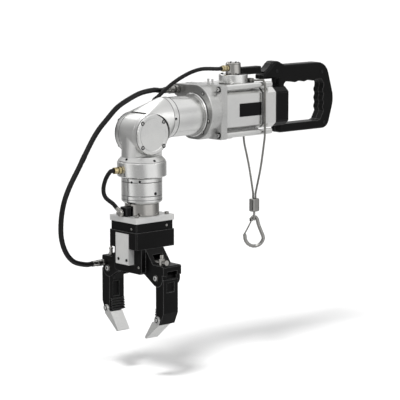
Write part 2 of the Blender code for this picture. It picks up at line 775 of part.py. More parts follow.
def make_piston(piston):
    """Piston, rod and crosshead in one piece, from the middle of the crosshead."""
    half = CROSSHEAD_HEIGHT / 2
    slot = CRANK_NOSE + CRANK_PLAY
    slot_in = PIN_Y - CRANK_Y - slot
    side = [(CROSSHEAD_Y, half), (CROSSHEAD_Y, slot), (slot_in, slot), (slot_in, -slot),
            (CROSSHEAD_Y, -slot),
            (CROSSHEAD_Y, -half)]
    head = solid("gripper_piston", prism(mirrored(side), -FINGER_SLOT_FRONT + RUN, FINGER_SLOT_BACK - RUN,
                                         "X"),
                 steel(), piston)
    low = FRAME_Z + PISTON_LIFT - (PIN_Z + CRANK_RISE)
    stem = [(0, low + PISTON_HEIGHT), (PISTON_RADIUS, low + PISTON_HEIGHT), (PISTON_RADIUS, low),
            (ROD_RADIUS, low),
            (ROD_RADIUS, half - 0.004), (0, half - 0.004)]
    fuse(head, turned(stem, SIDES_SMALL))
    return head


# Fingers. Each is written for the +Y side from its own pin, and mirrored for the other side.

def finger_outline():
    """The finger beside its pin: a hollow round the frame's pin end, and a sloped heel."""
    hollow = PIVOT_RADIUS + RUN
    start = math.degrees(math.asin(FINGER_TOP / hollow))
    end = -90 - math.degrees(math.asin(FINGER_INNER / hollow))
    points = [(FINGER_OUTER, FINGER_TOP - FINGER_TOP_SLOPE)] + arc((0, 0), hollow, start, end, 10)
    points += [(-FINGER_INNER, -FINGER_LENGTH), (FINGER_HEEL_OUT, -FINGER_LENGTH - FINGER_HEEL_DROP),
               (FINGER_OUTER, -FINGER_LENGTH - FINGER_HEEL_DROP + FINGER_HEEL_RISE)]
    return points


def crank_outline():
    """The finger's root: an eye on the pin, a bent arm to the crosshead and a strut into the blade."""
    foot = -PIVOT_RADIUS - 0.010
    points = arc((-CRANK_Y, CRANK_RISE), CRANK_NOSE, 90, 270, 6)
    points += [(-CRANK_Y + 0.012, CRANK_RISE - CRANK_NOSE), (-CRANK_EYE, -0.002)]
    points += [(-FINGER_INNER + 0.0005, foot), (FINGER_OUTER - 0.006, foot)]
    points += arc((0, 0), CRANK_EYE, 0, 100, 5)
    points += [(-CRANK_Y + 0.016, CRANK_RISE + CRANK_NOSE)]
    return points


def make_finger(side, holder, name):
    """One finger with its tip, tip pin and toothed pad."""
    def sided(bm):
        if side < 0:
            bm.transform(Matrix.Scale(-1, 4, (0, 1, 0)))
        return bm

    front = -CHEEK_X_FRONT
    back = FINGER_BACK
    middle = (front + back) / 2
    far = 2 * FRAME_X_FRONT
    finger = solid(f"finger_{name}", sided(prism(finger_outline(), front, back, "X")), black_metal(),
                   holder)
    fuse(finger, sided(prism(crank_outline(), -FINGER_SLOT_FRONT + RUN, FINGER_SLOT_BACK - RUN, "X")))
    cut(finger, rod(PIN_RADIUS + RUN, -far, far, SIDES_SMALL, "X"))
    half = POCKET_SIZE / 2
    pocket = block((middle - half, FINGER_OUTER - POCKET_DEPTH, -POCKET_DROP - POCKET_SIZE),
                   (middle + half, 2 * FINGER_OUTER, -POCKET_DROP))
    cut(finger, sided(pocket))
    hollow = block((middle - half, -2 * FINGER_OUTER, -INNER_POCKET_DROP - INNER_POCKET_LENGTH),
                   (middle + half * 0.7, -FINGER_INNER + POCKET_DEPTH, -INNER_POCKET_DROP))
    cut(finger, sided(hollow))
    pin_at = (0, side * TIP_PIN_IN * -1, -TIP_PIN_DROP)
    cut(finger, rod(TIP_PIN_RADIUS + GAP, -far, far, SIDES_SMALL, "X", pin_at))

    # The toothed pad lies on the inner face.
    face = -FINGER_INNER - GAP
    seat = face - PAD_BASE
    pad_top = -FINGER_LENGTH + PAD_TEETH * PAD_PITCH
    teeth = [(face, pad_top), (seat, pad_top)]
    for tooth in range(PAD_TEETH):
        z = pad_top - tooth * PAD_PITCH
        tooth_face = face - PAD_DEPTH * (0.6 + 0.4 * tooth / (PAD_TEETH - 1))
        teeth += [(tooth_face, z - PAD_PITCH * 0.2), (tooth_face, z - PAD_PITCH * 0.6),
                  (seat, z - PAD_PITCH * 0.8)]
    teeth += [(seat, -FINGER_LENGTH), (face, -FINGER_LENGTH)]
    pad = prism(teeth, front + PAD_MARGIN, back - PAD_MARGIN, "X")
    solid(f"grip_pad_{name}", sided(pad), black_metal(), holder)

    # The tip closes the finger's end, with an ear on the front face that the tip pin holds.
    step = GAP * 1.3
    heel = (FINGER_HEEL_OUT, -FINGER_LENGTH - FINGER_HEEL_DROP - step)
    inner_top = (-FINGER_INNER, -FINGER_LENGTH - step)
    pad_end = (face - PAD_DEPTH, -FINGER_LENGTH - step)
    point = [(-TIP_REACH, -TIP_DROP), (-TIP_REACH + TIP_EDGE, -TIP_DROP - 0.003)]
    tip_front = front - TIP_EAR
    wedge = prism([heel, inner_top, pad_end] + point, tip_front, tip_front + TIP_WIDTH, "X")
    tip = solid(f"tip_{name}", sided(wedge), bare_aluminium(), holder)
    ear_centre = (-TIP_PIN_IN, -TIP_PIN_DROP)
    ear = arc(ear_centre, TIP_EAR_RADIUS, -30, 200, 8)
    ear += [(face - PAD_DEPTH - 0.004, -FINGER_LENGTH - 0.008),
            (FINGER_HEEL_OUT - 0.004, -FINGER_LENGTH - 0.009)]
    fuse(tip, sided(prism(ear, tip_front, front - GAP, "X")))
    head = TIP_PIN_HEAD / 2.5
    end = head + TIP_EAR + back - front
    profile = [(0, 0.0), (TIP_PIN_HEAD, 0.0), (TIP_PIN_HEAD, head + 0.001), (TIP_PIN_RADIUS, head + 0.001),
               (TIP_PIN_RADIUS, end), (0, end)]
    fuse(tip, turned(profile, SIDES_SMALL, "X", (tip_front - head, pin_at[1], pin_at[2])))


# Power body

def octagon(half_y, panel, top_y, top):
    return mirrored([(top_y, top), (half_y, panel), (half_y, -panel), (top_y, -top)])


def make_front_head(root):
    """The round boss and square flange in one casting, with screw pockets and a hose port lug."""
    at = (0, 0, BODY_RISE)
    side = FLANGE_SIDE / 2
    square = rounded([(side, side, 0.004), (-side, side, 0.004), (-side, -side, 0.004),
                      (side, -side, 0.004)], 2)
    head = solid("front_head", prism(lifted(square, BODY_RISE), FLANGE_X, BARREL_X - GAP, "X"), silver(),
                 root,
                 smooth=True)
    boss = cutter(rod(BOSS_RADIUS, BOSS_X, FLANGE_X + 0.002, SIDES_LARGE, "X", at, 0.002), root, "boss")
    trim = 2 * side
    cut(boss, block((0, -trim, BODY_RISE + side), (2 * FLANGE_X, trim, BODY_RISE + trim)))
    cut(boss, block((0, -trim, BODY_RISE - trim), (2 * FLANGE_X, trim, BODY_RISE - side)))
    boolean(head, boss, "UNION")
    lug = rounded([(LUG_Y + LUG_HALF, LUG_RISE + LUG_HALF, 0.006),
                   (LUG_Y - 3 * LUG_HALF, LUG_RISE + LUG_HALF, 0),
                   (LUG_Y - 3 * LUG_HALF, 0.02, 0), (LUG_Y + LUG_HALF, LUG_RISE - LUG_HALF, 0.006)], 3)
    fuse(head, prism(lifted(lug, BODY_RISE), BOSS_X, FLANGE_X + 0.002, "X"))
    corner = side - SCREW_POCKET
    for y in (-corner, corner):
        for z in (-corner, corner):
            if y > 0 and z > 0:
                continue
            place = (0, y, BODY_RISE + z)
            cut(head, rod(SCREW_POCKET * 0.8, BOSS_X, FLANGE_X + 0.006, SIDES_SMALL, "X", place))
    for y in POST_Y:
        place = (FLANGE_X + FLANGE_LENGTH / 2, y, BODY_RISE + side)
        profile = [(0, POST_HEIGHT), (POST_RADIUS, POST_HEIGHT), (POST_RADIUS, POST_HEIGHT * 0.6),
                   (POST_RADIUS * 0.7, POST_HEIGHT * 0.6), (POST_RADIUS * 0.7, POST_HEIGHT * 0.25),
                   (POST_RADIUS * 1.3, POST_HEIGHT * 0.25), (POST_RADIUS * 1.3, -POST_RADIUS),
                   (0, -POST_RADIUS)]
        fuse(head, turned(profile, POST_SIDES, "Z", place))
    return head


def make_barrel(root):
    section = mirrored([(BARREL_SHOULDER_Y, BARREL_TOP), (BARREL_SHOULDER_Y, BARREL_SHOULDER_Z),
                        (BARREL_Y, BARREL_PANEL), (BARREL_Y, -BARREL_PANEL),
                        (BARREL_SHOULDER_Y, -BARREL_SHOULDER_Z), (BARREL_SHOULDER_Y, -BARREL_TOP)])
    barrel = solid("pump_barrel", prism(lifted(section, BODY_RISE), BARREL_X, GROOVE_X, "X"), silver(),
                   root)
    neck = 0.0045
    profile = [(0, 0.002), (0.007, 0.002), (0.007, -0.004), (neck, -0.004), (neck, -ANCHOR_DROP),
               (0, -ANCHOR_DROP)]
    fuse(barrel, turned(profile, SIDES_SMALL, "Z", (ANCHOR_X, ANCHOR_Y, BODY_RISE - BARREL_TOP)))
    # A narrower spigot keeps the rope groove open between the barrel and the rear head.
    head = octagon(HEAD_Y, HEAD_PANEL, HEAD_TOP_Y, HEAD_TOP)
    rear = solid("rear_head", prism(lifted(head, BODY_RISE), HEAD_X, CAP_X - GAP, "X"), silver(), root)
    spigot = octagon(HEAD_Y - SPIGOT_INSET, HEAD_PANEL - SPIGOT_INSET, HEAD_TOP_Y, HEAD_TOP - SPIGOT_INSET)
    fuse(rear, prism(lifted(spigot, BODY_RISE), GROOVE_X + GAP, HEAD_X + 0.002, "X"))
    cap = octagon(HEAD_Y - 0.001, HEAD_PANEL - 0.001, HEAD_TOP_Y - 0.001, HEAD_TOP - 0.001)
    cap = prism(lifted(cap, BODY_RISE), CAP_X, LEG_X - GAP, "X")
    solid("rear_cap", break_edges(cap, 0.003, sharp), black_nylon(), root)
    number = 0
    end = CAP_X - TIE_ROD_SHORT
    for y in (-ROD_Y, ROD_Y):
        for z in (ROD_Z, -ROD_Z):
            number += 1
            bar = rod(TIE_ROD_RADIUS, BARREL_X, end, SIDES_SMALL, "X", (0, y, BODY_RISE + z), 0.0015)
            solid(f"tie_rod_{number}", bar, silver(), root, smooth=True)


def make_handle(root):
    """Two moulded half shells: switch housing, top bar, rear grip, bottom bar and front leg in one D."""
    outer = rounded([(HOUSING_FRONT, HOUSING_UNDER, 0), (HOUSING_FRONT, HOUSING_LIP, 0),
                     (HOUSING_PEAK_FRONT, HOUSING_PEAK, 0.008), (HOUSING_PEAK_BACK, HOUSING_PEAK, 0.010),
                     (HOUSING_BACK, TOP_BAR_TOP, 0.008), (HANDLE_END - 0.026, TOP_BAR_TOP, 0.042),
                     (HANDLE_END + 0.001, GRIP_Z + 0.012, 0.060),
                     (HANDLE_END + 0.001, GRIP_Z - 0.012, 0.060),
                     (HANDLE_END - 0.020, BOTTOM_BAR_UNDER, 0.026), (LEG_X, BOTTOM_BAR_UNDER, 0.008),
                     (LEG_X, HOUSING_UNDER, 0)], 5)
    hole = [(HAND_X, BOTTOM_BAR_TOP + 0.006), (HAND_X, TOP_BAR_UNDER - 0.006)]
    hole += [(HAND_X + 0.006, TOP_BAR_UNDER)]
    first = (HAND_X + GRIP_X - GRIP_GROOVES * GROOVE_PITCH) / 2
    waves = 6 * GRIP_GROOVES
    for step in range(waves + 1):
        along = step / 6
        hole.append((first + along * GROOVE_PITCH,
                     TOP_BAR_UNDER - GROOVE_DEPTH * math.sin(math.pi * along) ** 2))
    span = TOP_BAR_UNDER - BOTTOM_BAR_TOP
    hole += [(GRIP_X - 0.010, TOP_BAR_UNDER), (GRIP_X, TOP_BAR_UNDER - 0.012)]
    for step in range(waves + 1):
        along = step / 6
        z = TOP_BAR_UNDER - 0.020 - along * (span - 0.044) / GRIP_GROOVES
        hole.append((GRIP_X - GROOVE_DEPTH * math.sin(math.pi * along) ** 2, z))
    hole += [(GRIP_X - 0.012, BOTTOM_BAR_TOP + 0.003), (GRIP_X - 0.020, BOTTOM_BAR_TOP),
             (HAND_X + 0.006, BOTTOM_BAR_TOP)]
    hole = list(dict.fromkeys(hole))
    half = HANDLE_WIDTH / 2
    for name, low, high in (("near", -half, -GAP / 2), ("far", GAP / 2, half)):
        skin = low if name == "near" else high

        def on_skin(edge):
            return all(abs(vert.co.y - skin) < 1e-6 for vert in edge.verts)

        shell = prism(outer, low, high, "Y")
        shell = solid(f"handle_shell_{name}", break_edges(shell, HANDLE_ROUND, on_skin, 3), black_nylon(),
                      root,
                      smooth=True)
        opening = cutter(prism(hole, -2 * half, 2 * half, "Y"), root, "hand_opening")
        boolean(shell, opening, "DIFFERENCE")
        cut(shell, paddle_pocket())
        cut(shell, paddle_shape(rod(PADDLE_PIN_RADIUS + GAP, -PADDLE_PIN_LENGTH / 2 - GAP,
                                    PADDLE_PIN_LENGTH / 2 + GAP, SIDES_SMALL, "Y")))


# Control paddle on the slope of the switch housing

def slope_angle():
    return math.atan2(HOUSING_PEAK - HOUSING_LIP, HOUSING_PEAK_FRONT - HOUSING_FRONT)


def paddle_pivot():
    """The pivot lies under the middle of the slope."""
    angle = slope_angle()
    middle = Vector(((HOUSING_FRONT + HOUSING_PEAK_FRONT) / 2, 0, (HOUSING_LIP + HOUSING_PEAK) / 2))
    return middle + Vector((math.sin(angle), 0, -math.cos(angle))) * PADDLE_DEPTH


def paddle_shape(bm):
    """Turns and moves a shape from the paddle's own frame to the body's."""
    bm.transform(Matrix.Translation(paddle_pivot()) @ Matrix.Rotation(-slope_angle(), 4, "Y"))
    return bm


def paddle_pocket():
    half = PADDLE_LENGTH / 2 + PADDLE_ROOM
    wide = PADDLE_WIDTH / 2 + RUN
    deep = PADDLE_HUB + RUN
    outline = [(-half, -0.001), (-PADDLE_HUB - RUN, -deep), (PADDLE_HUB + RUN, -deep), (half, -0.001),
               (half, 0.03), (-half, 0.03)]
    return paddle_shape(prism(outline, -wide, wide, "Y"))


def make_paddle(paddle):
    half = PADDLE_LENGTH / 2
    top = PADDLE_DEPTH + PADDLE_PROUD
    outline = [(-half, top), (-half, top - 0.0035), (-PADDLE_HUB, 0.0)] + arc((0, 0), PADDLE_HUB, 180, 360,
                                                                              8)
    outline += [(half, top - 0.0035), (half, top), (half * 0.5, top - 0.0012), (0, top - 0.0018),
                (-half * 0.5, top - 0.0012)]
    outline = list(dict.fromkeys(outline))
    wide = PADDLE_WIDTH / 2
    plate = solid("control_paddle", prism(outline, -wide, wide, "Y"), black_nylon(), paddle)
    fuse(plate, rod(PADDLE_PIN_RADIUS, -PADDLE_PIN_LENGTH / 2, PADDLE_PIN_LENGTH / 2, SIDES_SMALL, "Y"))


# Valve and other pieces on the body

def make_valve(root):
    seat = BODY_RISE + BARREL_TOP + GAP
    at = (VALVE_X, 0, seat)
    base = rod(VALVE_BASE_RADIUS, 0, VALVE_BASE_HEIGHT, SIDES_LARGE, "Z", at, 0.0015)
    solid("valve_base", base, nickel(), root, smooth=True)
    at = (VALVE_X, 0, seat + VALVE_BASE_HEIGHT + GAP)
    groove = 0.001
    top = VALVE_HEIGHT + VALVE_CAP_HEIGHT
    profile = [(0, top), (VALVE_RADIUS - 2 * groove, top), (VALVE_RADIUS, top - 2 * groove),
               (VALVE_RADIUS, VALVE_HEIGHT + groove), (VALVE_RADIUS - groove, VALVE_HEIGHT + groove),
               (VALVE_RADIUS - groove, VALVE_HEIGHT), (VALVE_RADIUS, VALVE_HEIGHT), (VALVE_RADIUS, 0),
               (0, 0)]
    solid("valve_body", turned(profile, SIDES_MEDIUM, "Z", at), nickel(), root, smooth=True)
    low = (VALVE_X + VALVE_RADIUS + GAP, -CONDUIT_WIDTH / 2, CONDUIT_RISE)
    high = (HOUSING_FRONT - GAP, CONDUIT_WIDTH / 2, CONDUIT_RISE + CONDUIT_HEIGHT)
    conduit = solid("control_conduit", break_edges(block(low, high), 0.002, sharp), black_nylon(), root)
    cut(conduit, rod(VALVE_BASE_RADIUS + GAP, 0, seat + VALVE_BASE_HEIGHT + GAP, SIDES_LARGE, "Z",
                     (VALVE_X, 0, 0)))
    face = -BARREL_Y - GAP
    plate = block((GROOVE_X - NAME_PLATE_LENGTH - 0.002, face - NAME_PLATE_THICKNESS,
                   BODY_RISE - NAME_PLATE_HEIGHT / 2),
                  (GROOVE_X - 0.002, face, BODY_RISE + NAME_PLATE_HEIGHT / 2))
    solid("name_plate", plate, black_metal(), root)
    under = BODY_RISE - BARREL_TOP - GAP
    plug = rod(PLUG_RADIUS, -PLUG_HEIGHT, 0, SIDES_MEDIUM, "Z", (PLUG_X, 0, under), 0.0015)
    solid("drain_plug", plug, nickel(), root, smooth=True)


# Hoses, with their fittings. Routes are chosen by hand in the elbow's frame.

def make_supply_hose(root, gripper):
    y = LUG_Y
    z = BODY_RISE + LUG_RISE
    start = BOSS_X - GAP
    steps = [(FITTING_RADIUS * 1.15, 0.012), (FITTING_RADIUS * 0.8, 0.004), (FITTING_RADIUS * 1.1, 0.014),
             (FITTING_RADIUS * 0.9, FITTING_LENGTH - 0.030)]
    fitting = stepped(steps, SIDES_SMALL, "X", (0, 0, 0), "front_hose_fitting", nickel(), root)
    fitting.rotation_euler = (0, 0, math.pi)
    fitting.location = (start, y, z)
    exit_x = start - FITTING_LENGTH - GAP
    jaw_y = PIN_Y + JAW_FITTING_OUT
    jaw_z = PIN_Z + JAW_FITTING_RISE
    jaw_x = -CHEEK_X_FRONT - GAP
    steps = [(FITTING_RADIUS * 0.9, 0.012), (FITTING_RADIUS * 0.75, 0.004), (FITTING_RADIUS * 0.9, 0.012),
             (FITTING_RADIUS * 0.8, JAW_FITTING_LENGTH - 0.028)]
    jaw = stepped(steps, SIDES_SMALL, "X", (0, 0, 0), "jaw_hose_fitting", nickel(), gripper)
    jaw.rotation_euler = (0, 0, math.pi)
    jaw.location = (jaw_x, jaw_y, below(jaw_z))
    end_x = jaw_x - JAW_FITTING_LENGTH - GAP
    points = [(exit_x, y, z), (exit_x - 0.016, y, z), (0.090, y, 0.0985), (0.046, 0.061, 0.093),
              (0.001, 0.063, 0.076), (-0.028, 0.065, 0.060), (-0.055, 0.067, 0.036), (-0.083, 0.069, 0.009),
              (-0.106, 0.072, -0.023), (-0.140, 0.078, -0.083), (-0.166, 0.083, -0.129),
              (-0.182, 0.087, -0.170),
              (-0.189, 0.090, -0.215), (-0.186, 0.093, -0.261), (-0.169, 0.096, -0.300),
              (-0.139, 0.101, -0.327), (end_x - 0.016, jaw_y, jaw_z), (end_x, jaw_y, jaw_z)]
    tube("supply_hose", points, SUPPLY_HOSE, rubber(), root, 3)


def make_pilot_hose(root):
    z = VALVE_FITTING_Z
    start = VALVE_X - VALVE_RADIUS - GAP
    steps = [(0.0075, 0.006), (0.0055, 0.003), (0.0085, 0.007), (0.0070, VALVE_FITTING_LENGTH - 0.016)]
    fitting = stepped(steps, SIDES_SMALL, "X", (0, 0, 0), "valve_hose_fitting", brass(), root)
    fitting.rotation_euler = (0, 0, math.pi)
    fitting.location = (start, 0, z)
    exit_x = start - VALVE_FITTING_LENGTH - GAP
    # The far end stands on the tube's hidden side.
    foot = (TUBE_X + 0.012, TUBE_RADIUS, ARM_RISE)
    stub = [(0, 0.0), (0.009, 0.0), (0.009, 0.018), (0, 0.018)]
    arm = solid("arm_hose_fitting", turned(stub, SIDES_SMALL, "Y", (foot[0], foot[1] + GAP, foot[2])),
                brass(), root,
                smooth=True)
    stem = rod(0.0075, 0, 0.024, SIDES_SMALL, "Z", (foot[0], foot[1] + 0.0105, foot[2] + 0.004))
    fuse(arm, stem)
    end = (foot[0], foot[1] + 0.0105, foot[2] + 0.028 + GAP)
    points = [(exit_x, 0, z), (exit_x - 0.012, 0, z), (0.214, 0.008, 0.149), (0.186, 0.018, 0.1425),
              (0.160, 0.028, 0.130), (0.137, 0.036, 0.1155), (0.115, 0.044, 0.098),
              (end[0] + 0.005, end[1] - 0.010, end[2] + 0.019), (end[0], end[1], end[2] + 0.010), end]
    tube("pilot_hose", points, PILOT_HOSE, rubber(), root, 2)


def make_wrist_hose(forearm, gripper):
    angle = math.radians(COLLAR_FITTING_ANGLE)
    level = COLLAR_Z - COLLAR_HEIGHT * 0.52
    seat = COLLAR_RADIUS + GAP
    steps = [(0.0095, 0.007), (0.007, 0.003), (0.0085, COLLAR_FITTING_LENGTH - 0.010)]
    fitting = stepped(steps, SIDES_SMALL, "X", (0, 0, 0), "collar_fitting", brass(), forearm)
    fitting.rotation_euler = (0, 0, angle)
    fitting.location = (seat * math.cos(angle), seat * math.sin(angle), level)
    reach = seat + COLLAR_FITTING_LENGTH + GAP
    start = Vector((reach * math.cos(angle), reach * math.sin(angle), level))
    # Port block on the mounting plate, with the banjo that takes the hose's lower end.
    front = -PLATE_X / 2 + 0.002
    top = below(PLATE_Z) + GAP
    low = (front, -0.013, top)
    high = (front + PORT_BLOCK, 0.013, top + PORT_BLOCK_HEIGHT)
    solid("port_block", break_edges(block(low, high), 0.0015, sharp), black_metal(), gripper)
    banjo_z = top + BANJO_RADIUS + GAP
    at = (front - GAP - BANJO_WIDTH, 0.003, banjo_z)
    banjo = solid("banjo_fitting", rod(BANJO_RADIUS, 0, BANJO_WIDTH, SIDES_SMALL, "X", at, 0.0015),
                  nickel(), gripper,
                  smooth=True)
    spout = Vector((-0.45, 0.45, 0.77)).normalized()
    turn = Vector((0, 0, 1)).rotation_difference(spout).to_matrix().to_4x4()
    centre = Vector((front - GAP - BANJO_WIDTH / 2, 0.003, banjo_z))
    pipe = rod(0.0058, 0.004, SPOUT_LENGTH, SIDES_SMALL)
    pipe.transform(Matrix.Translation(centre) @ turn)
    fuse(banjo, pipe)
    end = centre + spout * (SPOUT_LENGTH + GAP) + Vector((0, 0, SHAFT_Z))
    out = Vector((math.cos(angle), math.sin(angle), 0))
    points = [start, start + out * 0.008, (-0.1000, 0.0205, -0.1085), (-0.1045, 0.0250, -0.134),
              (-0.0985, 0.0250, -0.156), end + spout * 0.012, end]
    tube("wrist_hose", [tuple(point) for point in points], WRIST_HOSE, rubber(), forearm, 2)


def make_shoulder_fittings(gripper):
    """The tee on the right shoulder and the bleed nipple on the left one."""
    seat = below(FRAME_Z) - SHOULDER_DROP + GAP
    x = -CHEEK_X_FRONT + 0.012
    y = -(PIN_Y + 0.006)
    tee = solid("tee_fitting", rod(0.0075, 0, 0.017, SIDES_SMALL, "Z", (x, y, seat)), nickel(), gripper,
                smooth=True)
    fuse(tee, rod(0.0068, -0.020, 0.017, SIDES_SMALL, "Y", (x, y, seat + 0.0085)))
    fuse(tee, rod(0.0048, 0.015, 0.027, SIDES_SMALL, "Z", (x, y, seat)))
    y = PIN_Y + 0.004
    profile = [(0, 0.0), (0.0065, 0.0), (0.0065, 0.006), (0.0045, 0.006), (0.0045, 0.015), (0.0060, 0.016),
               (0.0060, 0.019), (0.0035, 0.020), (0.0028, 0.027), (0, 0.027)]
    solid("bleed_nipple", turned(profile, SIDES_SMALL, "Z", (x, y, seat)), nickel(), gripper, smooth=True)


# Sling: rope in the body's groove, ferrule and hook

def make_sling(root):
    x = GROOVE_X + GROOVE_LENGTH / 2
    outside = -(ROD_Y + TIE_ROD_RADIUS + ROPE_CLEAR + ROPE_DIAMETER / 2)
    top = BODY_RISE + BARREL_TOP
    lug_low = (GROOVE_X - 0.018, -0.030, top + GAP)
    lug_high = (GROOVE_X - 0.002, -0.012, top + 0.012)
    lug = solid("sling_lug", break_edges(block(lug_low, lug_high), 0.003, sharp), steel(), root)
    hole = rod(ROPE_DIAMETER / 2 + GAP, -0.045, -0.020, SIDES_SMALL, "Y",
               (GROOVE_X - 0.010, 0, top + 0.0062))
    cut(lug, hole)
    under = BODY_RISE - BARREL_TOP - ANCHOR_DROP - GAP
    hang = Vector((x - 0.002, SLING_HANG_Y, FERRULE_TOP))
    spread = 0.0045
    start = (GROOVE_X - 0.010, -0.0203, top + 0.0062)
    # The rope rides over the upper tie rod and down past the lower one.
    bend = arc((-ROD_Y, BODY_RISE + ROD_Z), -ROD_Y - outside, 100, 180, 4)
    points = [start, (GROOVE_X - 0.010, -0.030, top + 0.0062)]
    points += [(x, y, z) for y, z in bend]
    points += [(x, outside, BODY_RISE + 0.020), (x, outside, BODY_RISE - 0.020),
               (x, outside, BODY_RISE - ROD_Z - 0.004), (x, outside + 0.002, BODY_RISE - ROD_Z - 0.024),
               (x - 0.001, (outside + hang.y) / 2 - 0.004, (under + FERRULE_TOP) / 2),
               (hang.x, hang.y - spread, hang.z + 0.012), (hang.x, hang.y - spread, hang.z + GAP)]
    tube("sling_rope", points, ROPE_DIAMETER, steel(), root, 1, 3.0)
    points = [(ANCHOR_X, ANCHOR_Y, under), (ANCHOR_X + 0.001, ANCHOR_Y - 0.002, under - 0.020),
              (hang.x, (ANCHOR_Y + hang.y) / 2 + 0.004, (under + FERRULE_TOP) / 2),
              (hang.x, hang.y + spread, hang.z + 0.012), (hang.x, hang.y + spread, hang.z + GAP)]
    tube("sling_rope_leg", points, ROPE_DIAMETER, steel(), root, 1, 3.0)
    low = (hang.x - FERRULE_X / 2, hang.y - FERRULE_Y / 2 - 0.002, FERRULE_TOP - FERRULE_HEIGHT)
    high = (hang.x + FERRULE_X / 2, hang.y + FERRULE_Y / 2 + 0.002, FERRULE_TOP)
    ferrule = solid("sling_ferrule", break_edges(block(low, high), 0.004, sharp, 2), steel(), root,
                    smooth=True)
    fuse(ferrule, eye_ring(hang + Vector((0, 0, -FERRULE_HEIGHT - EYE_DROP))))
    return ferrule


def eye_ring(centre):
    """The rope's small eye under the ferrule, square to the hook."""
    wire = arc((EYE_RADIUS, 0), ROPE_DIAMETER / 2, 0, 315, 7)
    bm = turned(wire, SIDES_SMALL, "X")
    bm.transform(Matrix.Translation(centre) @ Matrix.Rotation(math.radians(HOOK_TURN), 4, "Z"))
    return bm


def hook_pivot():
    """The lowest wire of the eye, on which the hook hangs."""
    x = GROOVE_X + GROOVE_LENGTH / 2 - 0.002
    return Vector((x, SLING_HANG_Y, FERRULE_TOP - FERRULE_HEIGHT - EYE_DROP - EYE_RADIUS))


def make_hook(hook_axis):
    """An open round hook: its arch passes through the eye, its end stops short of the shank."""
    arch = (ROPE_DIAMETER + HOOK_WIRE) / 2 + HOOK_PLAY
    points = [(x, 0, z) for x, z in arc((0, 0), arch, 205, 0, 5)]
    drop = HOOK_DROP
    wide = HOOK_RADIUS
    points += [(arch + 0.003, 0, -0.013), (wide * 0.8, 0, -drop + wide * 1.5),
               (wide, 0, -drop + wide * 0.95)]
    points += [(wide * math.cos(a), 0, -drop + wide + wide * math.sin(a)) for a in
               (math.radians(angle) for angle in (-35, -70, -105, -140, -172))]
    points += [(-wide, 0, -drop + wide * 1.12), (-wide * 1.06, 0, -drop + wide * 1.32)]
    tube("sling_hook", points, HOOK_WIRE, steel(), hook_axis, 2, 0.8)


def build():
    clear_scene()
    root = empty("body_frame", ELBOW)
    forearm = empty("elbow_axis", (0, 0, 0), root)
    gripper = empty("wrist_axis", (0, 0, SHAFT_Z), forearm)
    piston = empty("crosshead_middle", (0, 0, below(PIN_Z + CRANK_RISE)), gripper)
    paddle = empty("paddle_axis", paddle_pivot(), root)
    paddle.rotation_euler = (0, -slope_angle(), 0)
    make_elbow(root, forearm)
    make_knuckle(forearm)
    make_arm(root)
    make_wrist(forearm, gripper)
    make_head(gripper)
    make_frame(gripper)
    make_cover(gripper)
    make_piston(piston)
    for name, side in (("left", 1), ("right", -1)):
        holder = empty(f"finger_axis_{name}", (0, side * PIN_Y, below(PIN_Z)), gripper)
        make_finger(side, holder, name)
    make_front_head(root)
    make_barrel(root)
    make_handle(root)
    make_paddle(paddle)
    make_valve(root)
    make_supply_hose(root, gripper)
    make_pilot_hose(root)
    make_wrist_hose(forearm, gripper)
    make_shoulder_fittings(gripper)
    make_sling(root)
    hook_axis = empty("hook_axis", hook_pivot(), root)
    hook_axis.rotation_euler = (0, 0, math.radians(HOOK_TURN))
    make_hook(hook_axis)


build()
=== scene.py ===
# %% [markdown]
# # Hydraulic rescue tool with a gripper
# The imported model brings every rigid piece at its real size. This lesson dresses it in Blender: finishes
# made from nodes, hoses and ropes on their real routes, and the small fasteners. All lengths are metres
# in the model's frame.

import json
import math

import bmesh
import bpy
from mathutils import Matrix, Vector


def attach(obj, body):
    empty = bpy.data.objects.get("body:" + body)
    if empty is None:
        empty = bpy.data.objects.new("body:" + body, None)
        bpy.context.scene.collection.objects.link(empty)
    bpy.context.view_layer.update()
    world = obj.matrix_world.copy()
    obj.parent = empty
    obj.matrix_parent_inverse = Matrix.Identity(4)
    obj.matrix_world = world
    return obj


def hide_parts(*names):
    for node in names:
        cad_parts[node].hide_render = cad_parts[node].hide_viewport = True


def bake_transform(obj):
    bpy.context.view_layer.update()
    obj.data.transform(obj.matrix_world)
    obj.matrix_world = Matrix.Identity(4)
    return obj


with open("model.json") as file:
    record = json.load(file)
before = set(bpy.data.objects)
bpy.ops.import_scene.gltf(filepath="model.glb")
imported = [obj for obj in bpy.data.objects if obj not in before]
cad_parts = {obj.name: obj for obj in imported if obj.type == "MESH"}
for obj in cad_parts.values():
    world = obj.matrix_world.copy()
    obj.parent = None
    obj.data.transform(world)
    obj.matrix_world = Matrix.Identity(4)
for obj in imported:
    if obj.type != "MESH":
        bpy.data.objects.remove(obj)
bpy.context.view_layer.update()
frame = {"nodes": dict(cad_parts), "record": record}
NODES = frame["nodes"]
ELBOW = Vector((-0.6495, 0.0, -0.0445))
UP = (0, 0, 1)

# %% [markdown]
# ## Camera
# A catalogue picture is taken from far away with a long lens, so its lines hardly converge. A camera
# could be set by eye. Here its angles and distance are set as numbers, and the elbow's middle is put on a
# chosen pixel.

# %% Place the camera
PHOTO_SIZE = 400
PIXELS_PER_TANGENT = 2000.0
CAMERA_AZIMUTH = math.radians(-41.7)
CAMERA_ELEVATION = math.radians(8.8)
CAMERA_DISTANCE = 5.0373
ELBOW_PIXEL = (141.6, 133.2)
SENSOR = 36.0


